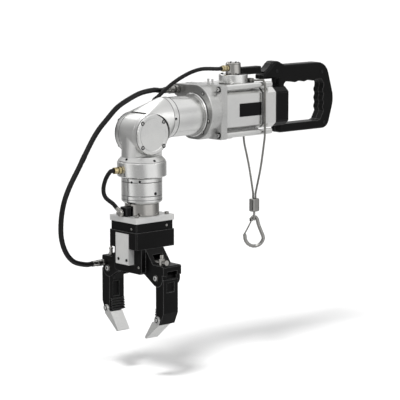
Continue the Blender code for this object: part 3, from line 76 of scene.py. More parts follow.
def place_camera():
    level = math.cos(CAMERA_ELEVATION)
    back = Vector((math.sin(CAMERA_AZIMUTH) * level, -math.cos(CAMERA_AZIMUTH) * level,
                   math.sin(CAMERA_ELEVATION)))
    right = (-back).cross(Vector(UP)).normalized()
    up = right.cross(-back)
    share = CAMERA_DISTANCE / PIXELS_PER_TANGENT
    across = (ELBOW_PIXEL[0] - PHOTO_SIZE / 2) * share
    down = (ELBOW_PIXEL[1] - PHOTO_SIZE / 2) * share
    offset = right * across - up * down
    lens = bpy.data.cameras.new("photo_camera")
    lens.sensor_width = SENSOR
    lens.lens = SENSOR * PIXELS_PER_TANGENT / PHOTO_SIZE
    lens.clip_end = 50.0
    camera = bpy.data.objects.new("photo_camera", lens)
    turn = Matrix((right, up, back)).transposed().to_4x4()
    camera.matrix_world = Matrix.Translation(ELBOW + back * CAMERA_DISTANCE - offset) @ turn
    bpy.context.scene.collection.objects.link(camera)
    bpy.context.scene.camera = camera
    return camera


camera = place_camera()
bpy.context.scene.view_settings.view_transform = "Standard"
print("camera at", [round(value, 3) for value in camera.location])

# %% [markdown]
# ## Shader helpers
# Every material below is a small graph of nodes. One function adds a node, sets it and links it, so each
# graph reads as a short list. Colours are written as sRGB hex codes, as a painter would, and turned to
# linear values once.

# %% Colour and node helpers
def hex_colour(code):
    """Linear colour of an sRGB hex code."""
    channels = [int(code[i:i + 2], 16) / 255 for i in (1, 3, 5)]
    return tuple(c / 12.92 if c <= 0.04045 else ((c + 0.055) / 1.055) ** 2.4 for c in channels) + (1.0,)


def add_node(tree, kind, settings=None, values=None, links=None):
    """Adds a shader node, sets its properties and sockets, and links its inputs."""
    node = tree.nodes.new(kind)
    for name, value in (settings or {}).items():
        setattr(node, name, value)
    for name, value in (values or {}).items():
        node.inputs[name].default_value = value
    for name, socket in (links or {}).items():
        tree.links.new(socket, node.inputs[name])
    return node


MM = 0.001
print("middle grey is", round(hex_colour("#808080")[0], 3))

# %% [markdown]
# ## Floor
# The tool hangs over a pale studio floor and throws a soft shadow on it. A plane is enough. It is left
# out of reflections, because in a studio the metal would mirror dark and pale walls more than the paper
# below it.

# %% Lay the floor
FLOOR_Z = -0.665
FLOOR_REACH = 40.0
FLOOR_CLOUD_MM = 330


def make_floor():
    bm = bmesh.new()
    bmesh.ops.create_grid(bm, x_segments=1, y_segments=1, size=FLOOR_REACH,
                          matrix=Matrix.Translation((0, 0, FLOOR_Z)))
    mesh = bpy.data.meshes.new("floor")
    bm.to_mesh(mesh)
    bm.free()
    floor = bpy.data.objects.new("floor", mesh)
    floor.visible_glossy = False
    bpy.context.scene.collection.objects.link(floor)
    # Matt paper: an even pale grey with hardly any shine.
    paint = bpy.data.materials.new("matt studio paper")
    paint.use_nodes = True
    tree = paint.node_tree
    shader = tree.nodes["Principled BSDF"]
    place = add_node(tree, "ShaderNodeTexCoord")
    cloud = add_node(tree, "ShaderNodeTexNoise", values={"Scale": 1 / (FLOOR_CLOUD_MM * MM)},
                     links={"Vector": place.outputs["Object"]})
    tone = add_node(tree, "ShaderNodeValToRGB", links={"Fac": cloud.outputs["Fac"]})
    tone.color_ramp.elements[0].color = hex_colour("#dedede")
    tone.color_ramp.elements[1].color = hex_colour("#e2e2e2")
    tree.links.new(tone.outputs["Color"], shader.inputs["Base Color"])
    shader.inputs["Roughness"].default_value = 0.9
    mesh.materials.append(paint)


make_floor()
print("floor at", FLOOR_Z)

# %% [markdown]
# ## Lamps
# A wide soft sun throws the shadow back to the right. It is hidden from reflections, because mirrored
# between the arm and the boss it would burn a white spot. Three weak softboxes draw the long highlights
# instead.

# %% Hang the lamps
TARGET = (-0.40, 0.0, -0.20)
SUN_WAY = Vector((0.51, 0.26, -1.0))
SUN_SOFTNESS = math.radians(15)
SUN_STRENGTH = 2.7


def hang(name, kind, energy, way):
    lamp = bpy.data.lights.new(name, kind)
    lamp.energy = energy
    obj = bpy.data.objects.new(name, lamp)
    obj.rotation_euler = way.to_track_quat("-Z", "Y").to_euler()
    bpy.context.scene.collection.objects.link(obj)
    return obj


sun = hang("sun", "SUN", SUN_STRENGTH, SUN_WAY)
sun.data.angle = SUN_SOFTNESS
sun.visible_glossy = False
for name, place, size, power in (("left", (-2.6, -1.2, 1.1), (0.5, 1.8), 8),
                                 ("right", (0.9, -2.8, 0.9), (0.5, 1.6), 6),
                                 ("back", (0.1, 2.0, 1.6), (1.6, 0.5), 6)):
    box = hang(f"softbox_{name}", "AREA", power, Vector(TARGET) - Vector(place))
    box.location = place
    box.data.shape = "RECTANGLE"
    box.data.size, box.data.size_y = size
print("lamps:", len(bpy.data.lights))

# %% [markdown]
# ## Studio walls
# Bare metal shows its surroundings, so the world is a small studio: pale and dark walls round the tool
# and a bright ceiling. A picture of a room could be wrapped round it. Two grey ramps do it without a
# file, one round the compass and one from nadir to zenith, mixed by steepness.

# %% Paint the studio walls
# Each step is a place from 0 to 1 and a brightness.
WALL_STEPS = ((0.0, 0.95), (0.042, 0.55), (0.153, 0.55), (0.222, 1.25), (0.333, 1.25), (0.367, 0.85),
              (0.403, 0.60), (0.458, 0.30), (0.528, 0.45), (0.633, 0.95), (0.750, 0.50), (0.792, 0.25),
              (0.861, 0.42), (0.917, 0.80), (0.950, 1.35), (1.0, 0.95))
DOME_STEPS = ((0.0, 0.85), (0.15, 1.00), (0.35, 0.75), (0.65, 0.60), (0.82, 1.40), (1.0, 1.00))
SKY_STRENGTH = 0.70
WALL_TOP = 0.25
DOME_START = 0.70


def make_sky():
    world = bpy.data.worlds.new("studio")
    world.use_nodes = True
    tree = world.node_tree
    place = add_node(tree, "ShaderNodeTexCoord")
    way = add_node(tree, "ShaderNodeSeparateXYZ", links={"Vector": place.outputs["Generated"]})
    turn = add_node(tree, "ShaderNodeMath", {"operation": "ARCTAN2"}, links={0: way.outputs["Y"],
                                                                             1: way.outputs["X"]})
    compass = add_node(tree, "ShaderNodeMapRange", values={"From Min": -math.pi, "From Max": math.pi},
                       links={"Value": turn.outputs["Value"]})
    height = add_node(tree, "ShaderNodeMapRange", values={"From Min": -1.0, "From Max": 1.0},
                      links={"Value": way.outputs["Z"]})
    steep = add_node(tree, "ShaderNodeMath", {"operation": "ABSOLUTE"}, links={0: way.outputs["Z"]})
    share = add_node(tree, "ShaderNodeMapRange", values={"From Min": WALL_TOP, "From Max": DOME_START},
                     links={"Value": steep.outputs["Value"]})
    mixed = add_node(tree, "ShaderNodeMix", {"data_type": "RGBA"},
                     links={"Factor": share.outputs["Result"]})
    for steps, source, end in ((WALL_STEPS, compass, "A"), (DOME_STEPS, height, "B")):
        ramp = add_node(tree, "ShaderNodeValToRGB", links={"Fac": source.outputs["Result"]})
        points = ramp.color_ramp.elements
        for step in steps[1:-1]:
            points.new(step[0])
        for point, step in zip(points, steps):
            point.color = (step[1], step[1], step[1], 1)
        tree.links.new(ramp.outputs["Color"], mixed.inputs[end])
    tree.links.new(mixed.outputs["Result"], tree.nodes["Background"].inputs["Color"])
    tree.nodes["Background"].inputs["Strength"].default_value = SKY_STRENGTH
    bpy.context.scene.world = world


make_sky()
print("wall steps:", len(WALL_STEPS), "dome steps:", len(DOME_STEPS))

# %% [markdown]
# ## How a finish is made
# Each finish is one Principled shader. A photographed texture could give its marks, but noise needs no
# file and fits every piece. Broad noise shifts the tone, as handling and casting do. Fine grain, given in
# millimetres, moves roughness and bump. A Bevel node rounds the normals at edges, as a deburring tool
# would.

# %% Finish function
CLOUD_MM = 70
EDGE_ROUND = 1.4 * MM
EDGE_SAMPLES = 6
TONE_STOPS = (0.35, 0.65)
RELIEF = 0.4 * MM
ROUGH_SPREAD = 0.06


def make_finish(name, dark, light, rough, metallic, grain_mm, bump, shine=0.5, stretch=(1, 1, 1)):
    """Two tones from broad noise, a fine grain for roughness and bump, and softly broken edges."""
    material = bpy.data.materials.new(name)
    material.use_nodes = True
    tree = material.node_tree
    shader = tree.nodes["Principled BSDF"]
    place = add_node(tree, "ShaderNodeTexCoord")
    scaled = add_node(tree, "ShaderNodeMapping", values={"Scale": stretch},
                      links={"Vector": place.outputs["Object"]})
    broad = add_node(tree, "ShaderNodeTexNoise", values={"Scale": 1 / (CLOUD_MM * MM), "Detail": 4.0},
                     links={"Vector": place.outputs["Object"]})
    fine = add_node(tree, "ShaderNodeTexNoise", values={"Scale": 1 / (grain_mm * MM), "Detail": 3.0},
                    links={"Vector": scaled.outputs["Vector"]})
    tone = add_node(tree, "ShaderNodeValToRGB", links={"Fac": broad.outputs["Fac"]})
    for point, spot, code in zip(tone.color_ramp.elements, TONE_STOPS, (dark, light)):
        point.position = spot
        point.color = hex_colour(code)
    tree.links.new(tone.outputs["Color"], shader.inputs["Base Color"])
    spread = add_node(tree, "ShaderNodeMapRange",
                      values={"To Min": rough - ROUGH_SPREAD, "To Max": rough + ROUGH_SPREAD},
                      links={"Value": fine.outputs["Fac"]})
    tree.links.new(spread.outputs["Result"], shader.inputs["Roughness"])
    edges = add_node(tree, "ShaderNodeBevel", {"samples": EDGE_SAMPLES}, {"Radius": EDGE_ROUND})
    relief = add_node(tree, "ShaderNodeBump", values={"Strength": bump, "Distance": RELIEF},
                      links={"Height": fine.outputs["Fac"], "Normal": edges.outputs["Normal"]})
    tree.links.new(relief.outputs["Normal"], shader.inputs["Normal"])
    shader.inputs["Metallic"].default_value = metallic
    shader.inputs["Specular IOR Level"].default_value = shine
    return material


FINISHES = {}
print("edges are rounded by", EDGE_ROUND, "m")

# %% [markdown]
# ## Metals
# The silver pieces are aluminium: turned and anodised, blasted after casting, or milled. The small
# hardware is plated or blackened steel, brass or bronze. Real blasting grit is near 0.1 mm. It is drawn
# coarser here, or no view would show it.

# %% Metal finishes
# Satin anodising: an even pale silver with soft long highlights.
FINISHES["silver"] = make_finish("satin anodised aluminium", "#e6e6e5", "#eeeeec", 0.24, 0.97, 0.67, 0.06)
# Blasted casting: duller and grainier, with wide highlights.
FINISHES["cast"] = make_finish("blasted cast aluminium", "#dadad9", "#e4e4e2", 0.35, 0.95, 1.5, 0.30)
# Milled faces: greyer, with a grain drawn out along the cut.
FINISHES["machined"] = make_finish("machined aluminium", "#d2d2d1", "#dcdcda", 0.28, 0.82, 1.4, 0.08,
                                   stretch=(1, 1, 8))
# Milled like the last, on the front head, whose turned face gets painted shade below.
FINISHES["boss"] = make_finish("machined aluminium casting", "#bebebd", "#cbcbc9", 0.28, 0.82, 1.4, 0.08,
                               stretch=(1, 1, 8))
# Lacquered plate: pale from every side, with little mirror in it.
FINISHES["satin"] = make_finish("lacquered aluminium plate", "#c6c6c5", "#d2d2d0", 0.34, 0.50, 1.4, 0.05)
# Nickel: warm white and nearly a mirror.
FINISHES["nickel"] = make_finish("nickel plated steel", "#bab8b4", "#c8c6c2", 0.14, 1.0, 0.83, 0.02)
# Zinc and chrome plating: darker than nickel, and as bright in its highlights.
FINISHES["plated"] = make_finish("bright plated steel", "#9c9b98", "#b0afac", 0.13, 1.0, 0.83, 0.03)
# Galvanised wire and sheet: mid grey and a little rough.
FINISHES["steel"] = make_finish("galvanised steel", "#858481", "#989793", 0.28, 0.95, 1.7, 0.08)
# Black oxide: a dark screw that still catches light.
FINISHES["screw"] = make_finish("black oxide steel", "#17181a", "#222325", 0.34, 0.60, 1.1, 0.05)
# Brass fittings: a pale straw yellow.
FINISHES["brass"] = make_finish("pale brass", "#c4b48a", "#d4c69f", 0.22, 1.0, 0.83, 0.03)
# Bronze bushes: brown and dull, hidden in the joints.
FINISHES["bronze"] = make_finish("bearing bronze", "#7d5a33", "#8a6640", 0.45, 1.0, 1.1, 0.04)
print("metal finishes:", len(FINISHES))

# %% [markdown]
# ## Blacks
# The gripper is black anodised, the handle is moulded from filled nylon, the plate is gloss black and the
# hoses are rubber. They differ less in tone than in gloss and grain, so those are what sets them apart.
# The texture of a mould is finer than this grain. It is drawn coarser for the same reason as the grit.

# %% Black finishes
# Hard anodising: deep black with faint satin highlights.
FINISHES["black_metal"] = make_finish("black anodised aluminium", "#060606", "#0b0b0b", 0.34, 0.0, 0.62,
                                      0.05, shine=0.13)
# Moulded nylon: a fine spark-eroded texture that softens the gloss.
FINISHES["black_nylon"] = make_finish("glass filled nylon", "#040404", "#080808", 0.34, 0.0, 1.4, 0.16,
                                      shine=0.14)
# Gloss paint: smooth, with a sharp reflection.
FINISHES["gloss_black"] = make_finish("gloss black plate", "#070708", "#0b0b0c", 0.16, 0.0, 2.0, 0.01,
                                      shine=0.12)
# Hose cover: smooth rubber with a narrow highlight along it.
FINISHES["rubber"] = make_finish("black rubber", "#070707", "#0d0d0d", 0.26, 0.0, 1.1, 0.10,
                                 shine=0.28, stretch=(1, 1, 6))
print("finishes:", len(FINISHES))

# %% [markdown]
# ## Painted edge highlights
# The edges of black pieces catch a thin line of light, and that highlight is painted into their colour. It
# could be painted along each edge. Here the Bevel node's rounded normal is compared with the surface's
# own, and where they part is an edge.

# %% Paint highlights on the edges of the blacks
HIGHLIGHTED_BLACKS = ("black_metal", "black_nylon")
EDGE_HIGHLIGHT_TONE = "#5a5a5a"
HIGHLIGHT_START = 0.995
HIGHLIGHT_FULL = 0.90


def paint_edge_highlights(material):
    """Paints a highlight into a finish where the rounded normal leaves the face's own."""
    tree = material.node_tree
    shader = tree.nodes["Principled BSDF"]
    colour = shader.inputs["Base Color"].links[0].from_socket
    face = add_node(tree, "ShaderNodeNewGeometry")
    edges = add_node(tree, "ShaderNodeBevel", {"samples": EDGE_SAMPLES}, {"Radius": EDGE_ROUND})
    match = add_node(tree, "ShaderNodeVectorMath", {"operation": "DOT_PRODUCT"},
                     links={0: edges.outputs["Normal"], 1: face.outputs["Normal"]})
    highlighted = add_node(tree, "ShaderNodeMapRange",
                      values={"From Min": HIGHLIGHT_START, "From Max": HIGHLIGHT_FULL},
                      links={"Value": match.outputs["Value"]})
    mixed = add_node(tree, "ShaderNodeMix", {"data_type": "RGBA"}, {"B": hex_colour(EDGE_HIGHLIGHT_TONE)},
                     {"Factor": highlighted.outputs["Result"], "A": colour})
    tree.links.new(mixed.outputs["Result"], shader.inputs["Base Color"])


for name in HIGHLIGHTED_BLACKS:
    paint_edge_highlights(FINISHES[name])
print("rubbed finishes:", HIGHLIGHTED_BLACKS)

# %% [markdown]
# ## The turned face of the front head
# The boss of the front head ends in a turned face, darker than the casting round it by painted shade. It
# could be a piece of its own. It is one with the casting here, so the painted shade darkens the finish by
# place along the arm's axis.

# %% Paint shade on the turned face
BOSS_FACE = -0.4755
FACE_DEPTH = 0.5 * MM
FACE_SHADE_TONE = 0.55


def paint_face_shade(material):
    tree = material.node_tree
    shader = tree.nodes["Principled BSDF"]
    colour = shader.inputs["Base Color"].links[0].from_socket
    place = add_node(tree, "ShaderNodeTexCoord")
    way = add_node(tree, "ShaderNodeSeparateXYZ", links={"Vector": place.outputs["Object"]})
    # Painted shade: the finish is darkened on the turned face.
    tone = add_node(tree, "ShaderNodeMapRange", values={"From Min": BOSS_FACE + FACE_DEPTH,
                                                        "From Max": BOSS_FACE + 2 * FACE_DEPTH,
                                                        "To Min": FACE_SHADE_TONE, "To Max": 1.0},
                    links={"Value": way.outputs["X"]})
    mixed = add_node(tree, "ShaderNodeMix", {"data_type": "RGBA", "blend_type": "MULTIPLY"},
                     {"Factor": 1.0}, {"A": colour, "B": tone.outputs["Result"]})
    tree.links.new(mixed.outputs["Result"], shader.inputs["Base Color"])


paint_face_shade(FINISHES["boss"])
print("turned face at", BOSS_FACE)

# %% [markdown]
# ## Painted shade in the corners
# Painted shade darkens the metals where pieces meet, and draws dark lines round screws, rods and
# flanges. It could be modelled as rings, as the seams are below. An ambient occlusion node finds every
# corner at once, by nearness.

# %% Paint shade into the creases of the metals
CREASE_REACH = 7 * MM
CREASE_SHADE_TONE = 0.30
CREASE_SHUT = 0.25
CREASE_OPEN = 0.85


def paint_crease_shade(material):
    tree = material.node_tree
    shader = tree.nodes["Principled BSDF"]
    colour = shader.inputs["Base Color"].links[0].from_socket
    # Painted shade: ambient occlusion darkens the base colour in corners and creases.
    corner = add_node(tree, "ShaderNodeAmbientOcclusion", {"samples": 8}, {"Distance": CREASE_REACH})
    tone = add_node(tree, "ShaderNodeMapRange", values={"From Min": CREASE_SHUT, "From Max": CREASE_OPEN,
                                                        "To Min": CREASE_SHADE_TONE, "To Max": 1.0},
                    links={"Value": corner.outputs["AO"]})
    mixed = add_node(tree, "ShaderNodeMix", {"data_type": "RGBA", "blend_type": "MULTIPLY"},
                     {"Factor": 1.0}, {"A": colour, "B": tone.outputs["Result"]})
    tree.links.new(mixed.outputs["Result"], shader.inputs["Base Color"])


# The front head is left out, because its long thin triangles would show smears.
for name in ("silver", "cast", "machined", "nickel", "plated", "brass"):
    paint_crease_shade(FINISHES[name])
print("creases reach", CREASE_REACH, "m")

# %% [markdown]
# ## Dressing the flat pieces
# Plates, blocks and fingers have flat faces. A few round pieces are hidden, or are carried by the sling.
# All these solids are shown as they are, and only need a finish in their material slot.

# %% Dress the flat pieces
FLAT = {
    "silver": ["pump_barrel", "rear_head"],
    "satin": ["mounting_plate", "front_cover"],
    "machined": ["tip_left", "tip_right"],
    "nickel": ["elbow_shaft", "gripper_piston"],
    "plated": ["sling_ferrule", "sling_hook"],
    "steel": ["sling_lug"],
    "bronze": ["elbow_bush_near", "elbow_bush_far", "wrist_bush"],
    "gloss_black": ["name_plate"],
    "black_metal": ["gripper_neck", "gripper_block", "gripper_frame", "finger_left", "finger_right",
                    "port_block", "grip_pad_left", "grip_pad_right"],
    "black_nylon": ["rear_cap", "control_paddle"],
}
for finish, names in FLAT.items():
    for name in names:
        slots = NODES[name].data.materials
        slots.clear()
        slots.append(FINISHES[finish])
print("flat pieces:", sum(len(names) for names in FLAT.values()))

# %% [markdown]
# ## Making a piece
# Every new piece needs an object, a finish and a slot, and most ride on one body. These lines could be
# repeated for each. One function keeps them together, so that none is forgotten.

# %% Piece helper
def make_piece(name, bm, finish, body=None):
    """Turns a bmesh into an object with a finish, and lets it ride on a body."""
    mesh = bpy.data.meshes.new(name)
    bm.to_mesh(mesh)
    bm.free()
    mesh.materials.append(FINISHES[finish])
    obj = bpy.data.objects.new(name, mesh)
    bpy.context.scene.collection.objects.link(obj)
    if body:
        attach(obj, body)
    return obj


# %% [markdown]
# ## Smoothing the round pieces
# A solid arrives as loose flat triangles, so turned pieces would show facets. A copy is merged and shaded
# round, with sharp edges kept, and stands for the solid. Its corners stay where they were.

# %% Smooth the round pieces
ROUND = {
    "silver": ["elbow_cover_near", "elbow_cover_far", "arm_clamp_ring", "arm_tube", "valve_base",
               "wrist_collar", "wrist_barrel", "tie_rod_1", "tie_rod_2", "tie_rod_3", "tie_rod_4"],
    "cast": ["elbow_yoke", "forearm_knuckle"],
    "boss": ["front_head"],
    "nickel": ["valve_body", "drain_plug", "wrist_shaft", "shoulder_pin_left", "shoulder_pin_right",
               "tee_fitting", "bleed_nipple", "banjo_fitting"],
    "plated": ["front_hose_fitting", "jaw_hose_fitting"],
    "brass": ["valve_hose_fitting", "arm_hose_fitting", "collar_fitting"],
    "black_nylon": ["handle_shell_near", "handle_shell_far", "control_conduit"],
}
MERGE = 0.002 * MM
SHARP_ANGLE = math.radians(30)
BODY_OF = {node: body for body, nodes in frame["record"]["behaviour"]["bodies"].items() for node in nodes}


def smooth_copy(name, finish):
    bm = bmesh.new()
    bm.from_mesh(NODES[name].data)
    bmesh.ops.remove_doubles(bm, verts=bm.verts, dist=MERGE)
    for face in bm.faces:
        face.smooth = True
    for edge in bm.edges:
        edge.smooth = edge.calc_face_angle(0.0) < SHARP_ANGLE
    copy = make_piece(f"{name}_smooth", bm, finish, BODY_OF[name])
    normals = copy.data.attributes.get("custom_normal")
    if normals:
        copy.data.attributes.remove(normals)
    weighted = copy.modifiers.new("flat faces stay flat", "WEIGHTED_NORMAL")
    weighted.keep_sharp = True
    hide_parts(name)


for finish, names in ROUND.items():
    for name in names:
        smooth_copy(name, finish)
print("round pieces:", sum(len(names) for names in ROUND.values()))

# %% [markdown]
# ## Routes of hoses and ropes
# A hose takes one smooth curve between its fittings. A Bezier curve with a round bevel could draw it. A
# smooth curve through chosen points is worked out here instead, because the same points give the length
# and the swept tube.

# %% Route helpers
ROUTE_STEP = 0.003
SPLINE_STEPS = 16


def smooth_route(points, spacing):
    """Evenly spaced points on a smooth curve through chosen ones. First and last runs stay straight."""
    knots = [Vector(point) for point in points]
    fine = [knots[0]]
    for a, b, c, d in zip(knots, knots[1:], knots[2:], knots[3:]):
        for step in range(SPLINE_STEPS):
            t = step / SPLINE_STEPS
            fine.append(0.5 * (2 * b + (c - a) * t + (2 * a - 5 * b + 4 * c - d) * t ** 2
                               + (3 * b - a - 3 * c + d) * t ** 3))
    fine += [knots[-2], knots[-1]]
    lengths = [0.0]
    for first, second in zip(fine, fine[1:]):
        lengths.append(lengths[-1] + (second - first).length)
    count = max(4, round(lengths[-1] / spacing))
    route, index = [], 0
    for step in range(count + 1):
        goal = lengths[-1] * step / count
        while index < len(fine) - 2 and lengths[index + 1] < goal:
            index += 1
        share = (goal - lengths[index]) / max(lengths[index + 1] - lengths[index], 1e-9)
        route.append(fine[index].lerp(fine[index + 1], min(max(share, 0.0), 1.0)))
    return route


def route_length(route):
    return sum((b - a).length for a, b in zip(route, route[1:]))


def elbow_route(points, spacing=ROUTE_STEP):
    """A route whose points are measured from the elbow's middle."""
    return smooth_route([Vector(point) + ELBOW for point in points], spacing)


print("route points lie", ROUTE_STEP, "m apart")

# %% [markdown]
# ## Sweeping a tube
# A hose cover has a shallow spiral and a wire rope has a deep lay of strands. A curve's bevel can't twist
# like that, so rings of points are set along the route and bridged. Each ring is turned a little further
# than the last.

# %% Sweep helper
CORD_SIDES = 24


def sweep(name, route, radius, finish, sides=16, lobes=0, lay=0.0, depth=0.16):
    """A closed tube along a route. With lobes, its strands twist once in each lay length."""
    bm = bmesh.new()
    tangent = (route[1] - route[0]).normalized()
    side = tangent.orthogonal().normalized()
    rings, gone = [], 0.0
    for i, point in enumerate(route):
        ahead = route[min(i + 1, len(route) - 1)] - route[max(i - 1, 0)]
        turn = tangent.rotation_difference(ahead.normalized())
        tangent = ahead.normalized()
        side = (turn @ side).normalized()
        across = tangent.cross(side)
        if i:
            gone += (point - route[i - 1]).length
        twist = 2 * math.pi * gone / lay if lay else 0.0
        ring = []
        for step in range(sides):
            angle = 2 * math.pi * step / sides
            reach = radius
            if lobes:
                reach *= 1 - depth * (1 - abs(math.cos(lobes * (angle - twist) / 2)))
            ring.append(bm.verts.new(point + (side * math.cos(angle) + across * math.sin(angle)) * reach))
        rings.append(ring)
    for low, high in zip(rings, rings[1:]):
        for step in range(sides):
            after = (step + 1) % sides
            bm.faces.new((low[step], low[after], high[after], high[step])).smooth = True
    bm.faces.new(reversed(rings[0]))
    bm.faces.new(rings[-1])
    return make_piece(name, bm, finish)


print("hoses and ropes are swept with", CORD_SIDES, "sides")

# %% [markdown]
# ## Making a hose
# A hose is a rubber tube swept along its route, with a shallow spiral in its cover.

# %% Cord helpers
HOSE_LOBES = 4
HOSE_LAY = 0.040
HOSE_DEPTH = 0.05


def make_hose(name, route, diameter):
    """A rubber hose whose cover has a shallow spiral."""
    return sweep(name, route, diameter / 2, "rubber", CORD_SIDES, HOSE_LOBES, HOSE_LAY, HOSE_DEPTH)


print("a hose cover turns once in", HOSE_LAY, "m")

# %% [markdown]
# ## Supply hose
# The long hose runs from the front head, past the elbow, to the gripper. It crosses two joints, and a
# piece can bend across only one. So it is made of two stretches, which meet on the forearm under a short
# rubber sleeve.

# %% Make the supply hose
SUPPLY_DIAMETER = 0.0135
SUPPLY_EXIT = (0.1284, 0.060, 0.096)
JAW_END = (-0.0776, 0.107, -0.3402)
SUPPLY_POINTS = [
    SUPPLY_EXIT, (0.1124, 0.060, 0.096), (0.090, 0.060, 0.0985), (0.046, 0.061, 0.093),
    (0.001, 0.063, 0.076), (-0.028, 0.065, 0.060), (-0.055, 0.067, 0.036), (-0.083, 0.069, 0.009),
    (-0.106, 0.072, -0.023),
    (-0.140, 0.078, -0.083), (-0.166, 0.083, -0.129), (-0.182, 0.087, -0.170), (-0.189, 0.090, -0.215),
    (-0.186, 0.093, -0.261), (-0.169, 0.096, -0.300), (-0.139, 0.101, -0.327), (-0.0936, 0.107, -0.3402),
    JAW_END]
SPLIT_SHARE = 0.47
SLEEVE_LENGTH = 0.018
SLEEVE_WALL = 0.0004

supply_route = elbow_route(SUPPLY_POINTS)
split = round(SPLIT_SHARE * (len(supply_route) - 1))
upper_route = supply_route[:split + 1]
lower_route = supply_route[split:]
upper = make_hose("supply_hose_upper", upper_route, SUPPLY_DIAMETER)
lower = make_hose("supply_hose_lower", lower_route, SUPPLY_DIAMETER)
run = (upper_route[-1] - upper_route[-2]).normalized() * SLEEVE_LENGTH
sleeve_route = [upper_route[-1] + run * share for share in (-0.5, -0.45, 0.0, 0.45, 0.5)]
sleeve = sweep("supply_hose_sleeve", sleeve_route, SUPPLY_DIAMETER / 2 + SLEEVE_WALL, "rubber")
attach(sleeve, "forearm")
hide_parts("supply_hose")
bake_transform(upper)
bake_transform(lower)
print("supply hose", round(route_length(supply_route), 3), "m")

# %% [markdown]
# ## Pilot hose
# A thinner hose arches from the valve to a fitting on the far side of the arm. It could be blended
# between bodies. Both of its ends are on the same body, so it simply rides there and never bends.

# %% Make the pilot hose
PILOT_DIAMETER = 0.0105
PILOT_POINTS = [
    (0.2704, 0.0, 0.147), (0.2584, 0.0, 0.147), (0.214, 0.008, 0.149), (0.186, 0.018, 0.1425),
    (0.160, 0.028, 0.130), (0.137, 0.036, 0.1155), (0.115, 0.044, 0.098), (0.0985, 0.052, 0.0813),
    (0.0935, 0.062, 0.0723), (0.0935, 0.062, 0.0623)]
pilot_route = elbow_route(PILOT_POINTS)
pilot = make_hose("pilot_hose_tube", pilot_route, PILOT_DIAMETER)
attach(pilot, "body")
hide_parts("pilot_hose")
print("pilot hose", round(route_length(pilot_route), 3), "m")

# %% [markdown]
# ## Wrist hose
# A short hose leaves the collar, bows outwards and ends on the banjo of the gripper. If it rode on one
# body, its other end would come off as the wrist turns. So it is left on no body.

# %% Make the wrist hose
WRIST_DIAMETER = 0.011
COLLAR_ANGLE = math.radians(172)
COLLAR_OUT = Vector((math.cos(COLLAR_ANGLE), math.sin(COLLAR_ANGLE), 0))
COLLAR_START = COLLAR_OUT * 0.0834 + Vector((0, 0, -0.08932))
SPOUT = Vector((-0.45, 0.45, 0.77)).normalized()
BANJO_END = Vector((-0.0673, 0.003, -0.1962)) + SPOUT * 0.0168
WRIST_POINTS = [
    COLLAR_START, COLLAR_START + COLLAR_OUT * 0.008, (-0.1000, 0.0205, -0.1085), (-0.1045, 0.0250, -0.134),
    (-0.0985, 0.0250, -0.156), BANJO_END + SPOUT * 0.012, BANJO_END]
wrist_route = elbow_route(WRIST_POINTS)
wrist = make_hose("wrist_hose_tube", wrist_route, WRIST_DIAMETER)
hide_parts("wrist_hose")
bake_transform(wrist)
print("wrist hose", round(route_length(wrist_route), 3), "m")

# %% [markdown]
# ## Sling rope
# A wire rope comes off the lug, bends over the upper tie rod, hangs down the near side and is crimped in
# the ferrule. A second leg comes from below the barrel. A texture could draw the strands. Six lobes that
# turn once in 36 mm give them in the shape itself, outline and all.

# %% Make the sling rope
ROPE_DIAMETER = 0.0055
ROPE_STEP = 0.0012
ROPE_LAY = 0.036
ROPE_STRANDS = 6
ROPE_X = 0.369
ROPE_OUTSIDE = -0.06215
ROPE_TOP = 0.1132
ROD = (-0.050, 0.1028)
FERRULE_TOP = -0.200
SEAT = FERRULE_TOP + 0.0003
SPREAD = 0.0045
HANG = Vector((0.367, -0.025, FERRULE_TOP))
LEG_TOP = -0.0353
rope_points = [(0.356, -0.0203, ROPE_TOP), (0.356, -0.030, ROPE_TOP)]
for angle in (100, 120, 140, 160, 180):
    turn = math.radians(angle)
    reach = ROD[0] - ROPE_OUTSIDE
    rope_points.append((ROPE_X, ROD[0] + reach * math.cos(turn), ROD[1] + reach * math.sin(turn)))
rope_points += [
    (ROPE_X, ROPE_OUTSIDE, 0.061), (ROPE_X, ROPE_OUTSIDE, 0.021), (ROPE_X, ROPE_OUTSIDE, -0.0248),
    (ROPE_X, ROPE_OUTSIDE + 0.002, -0.0448),
    (ROPE_X - 0.001, (ROPE_OUTSIDE + HANG.y) / 2 - 0.004, -0.1177),
    (HANG.x, HANG.y - SPREAD, FERRULE_TOP + 0.012), (HANG.x, HANG.y - SPREAD, SEAT)]
leg_points = [
    (0.358, 0.008, LEG_TOP), (0.359, 0.006, LEG_TOP - 0.020),
    (HANG.x, -0.0045, (LEG_TOP + FERRULE_TOP) / 2),
    (HANG.x, HANG.y + SPREAD, FERRULE_TOP + 0.012), (HANG.x, HANG.y + SPREAD, SEAT)]
for name, points in (("sling_rope", rope_points), ("sling_rope_leg", leg_points)):
    route = elbow_route(points, ROPE_STEP)
    strand = sweep(f"{name}_strands", route, ROPE_DIAMETER / 2, "steel", CORD_SIDES, ROPE_STRANDS,
                   ROPE_LAY)
    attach(strand, "body")
    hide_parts(name)
    print(name, round(route_length(route), 3), "m")

# %% [markdown]
# ## Screw heads
# A socket screw's head is a chamfered disc with a hexagon pressed into it. It could be cut by a boolean.
# Extruding a circle's edges step by step gives the same shape with clean faces.

# %% Screw head helper
HEAD_SIDES = 24
CHAMFER_SHARE = 0.12
SOCKET_SIDES = 6
SOCKET_SHARE = 0.52
SOCKET_FLOOR = 0.25


def loop_edges(bm, verts):
    kept = set(verts)
    return [edge for edge in bm.edges if edge.verts[0] in kept and edge.verts[1] in kept]


def circle(bm, sides, radius, height):
    """The edges of a level circle."""
    place = Matrix.Translation((0, 0, height))
    made = bmesh.ops.create_circle(bm, segments=sides, radius=radius, matrix=place)
    return loop_edges(bm, made["verts"])


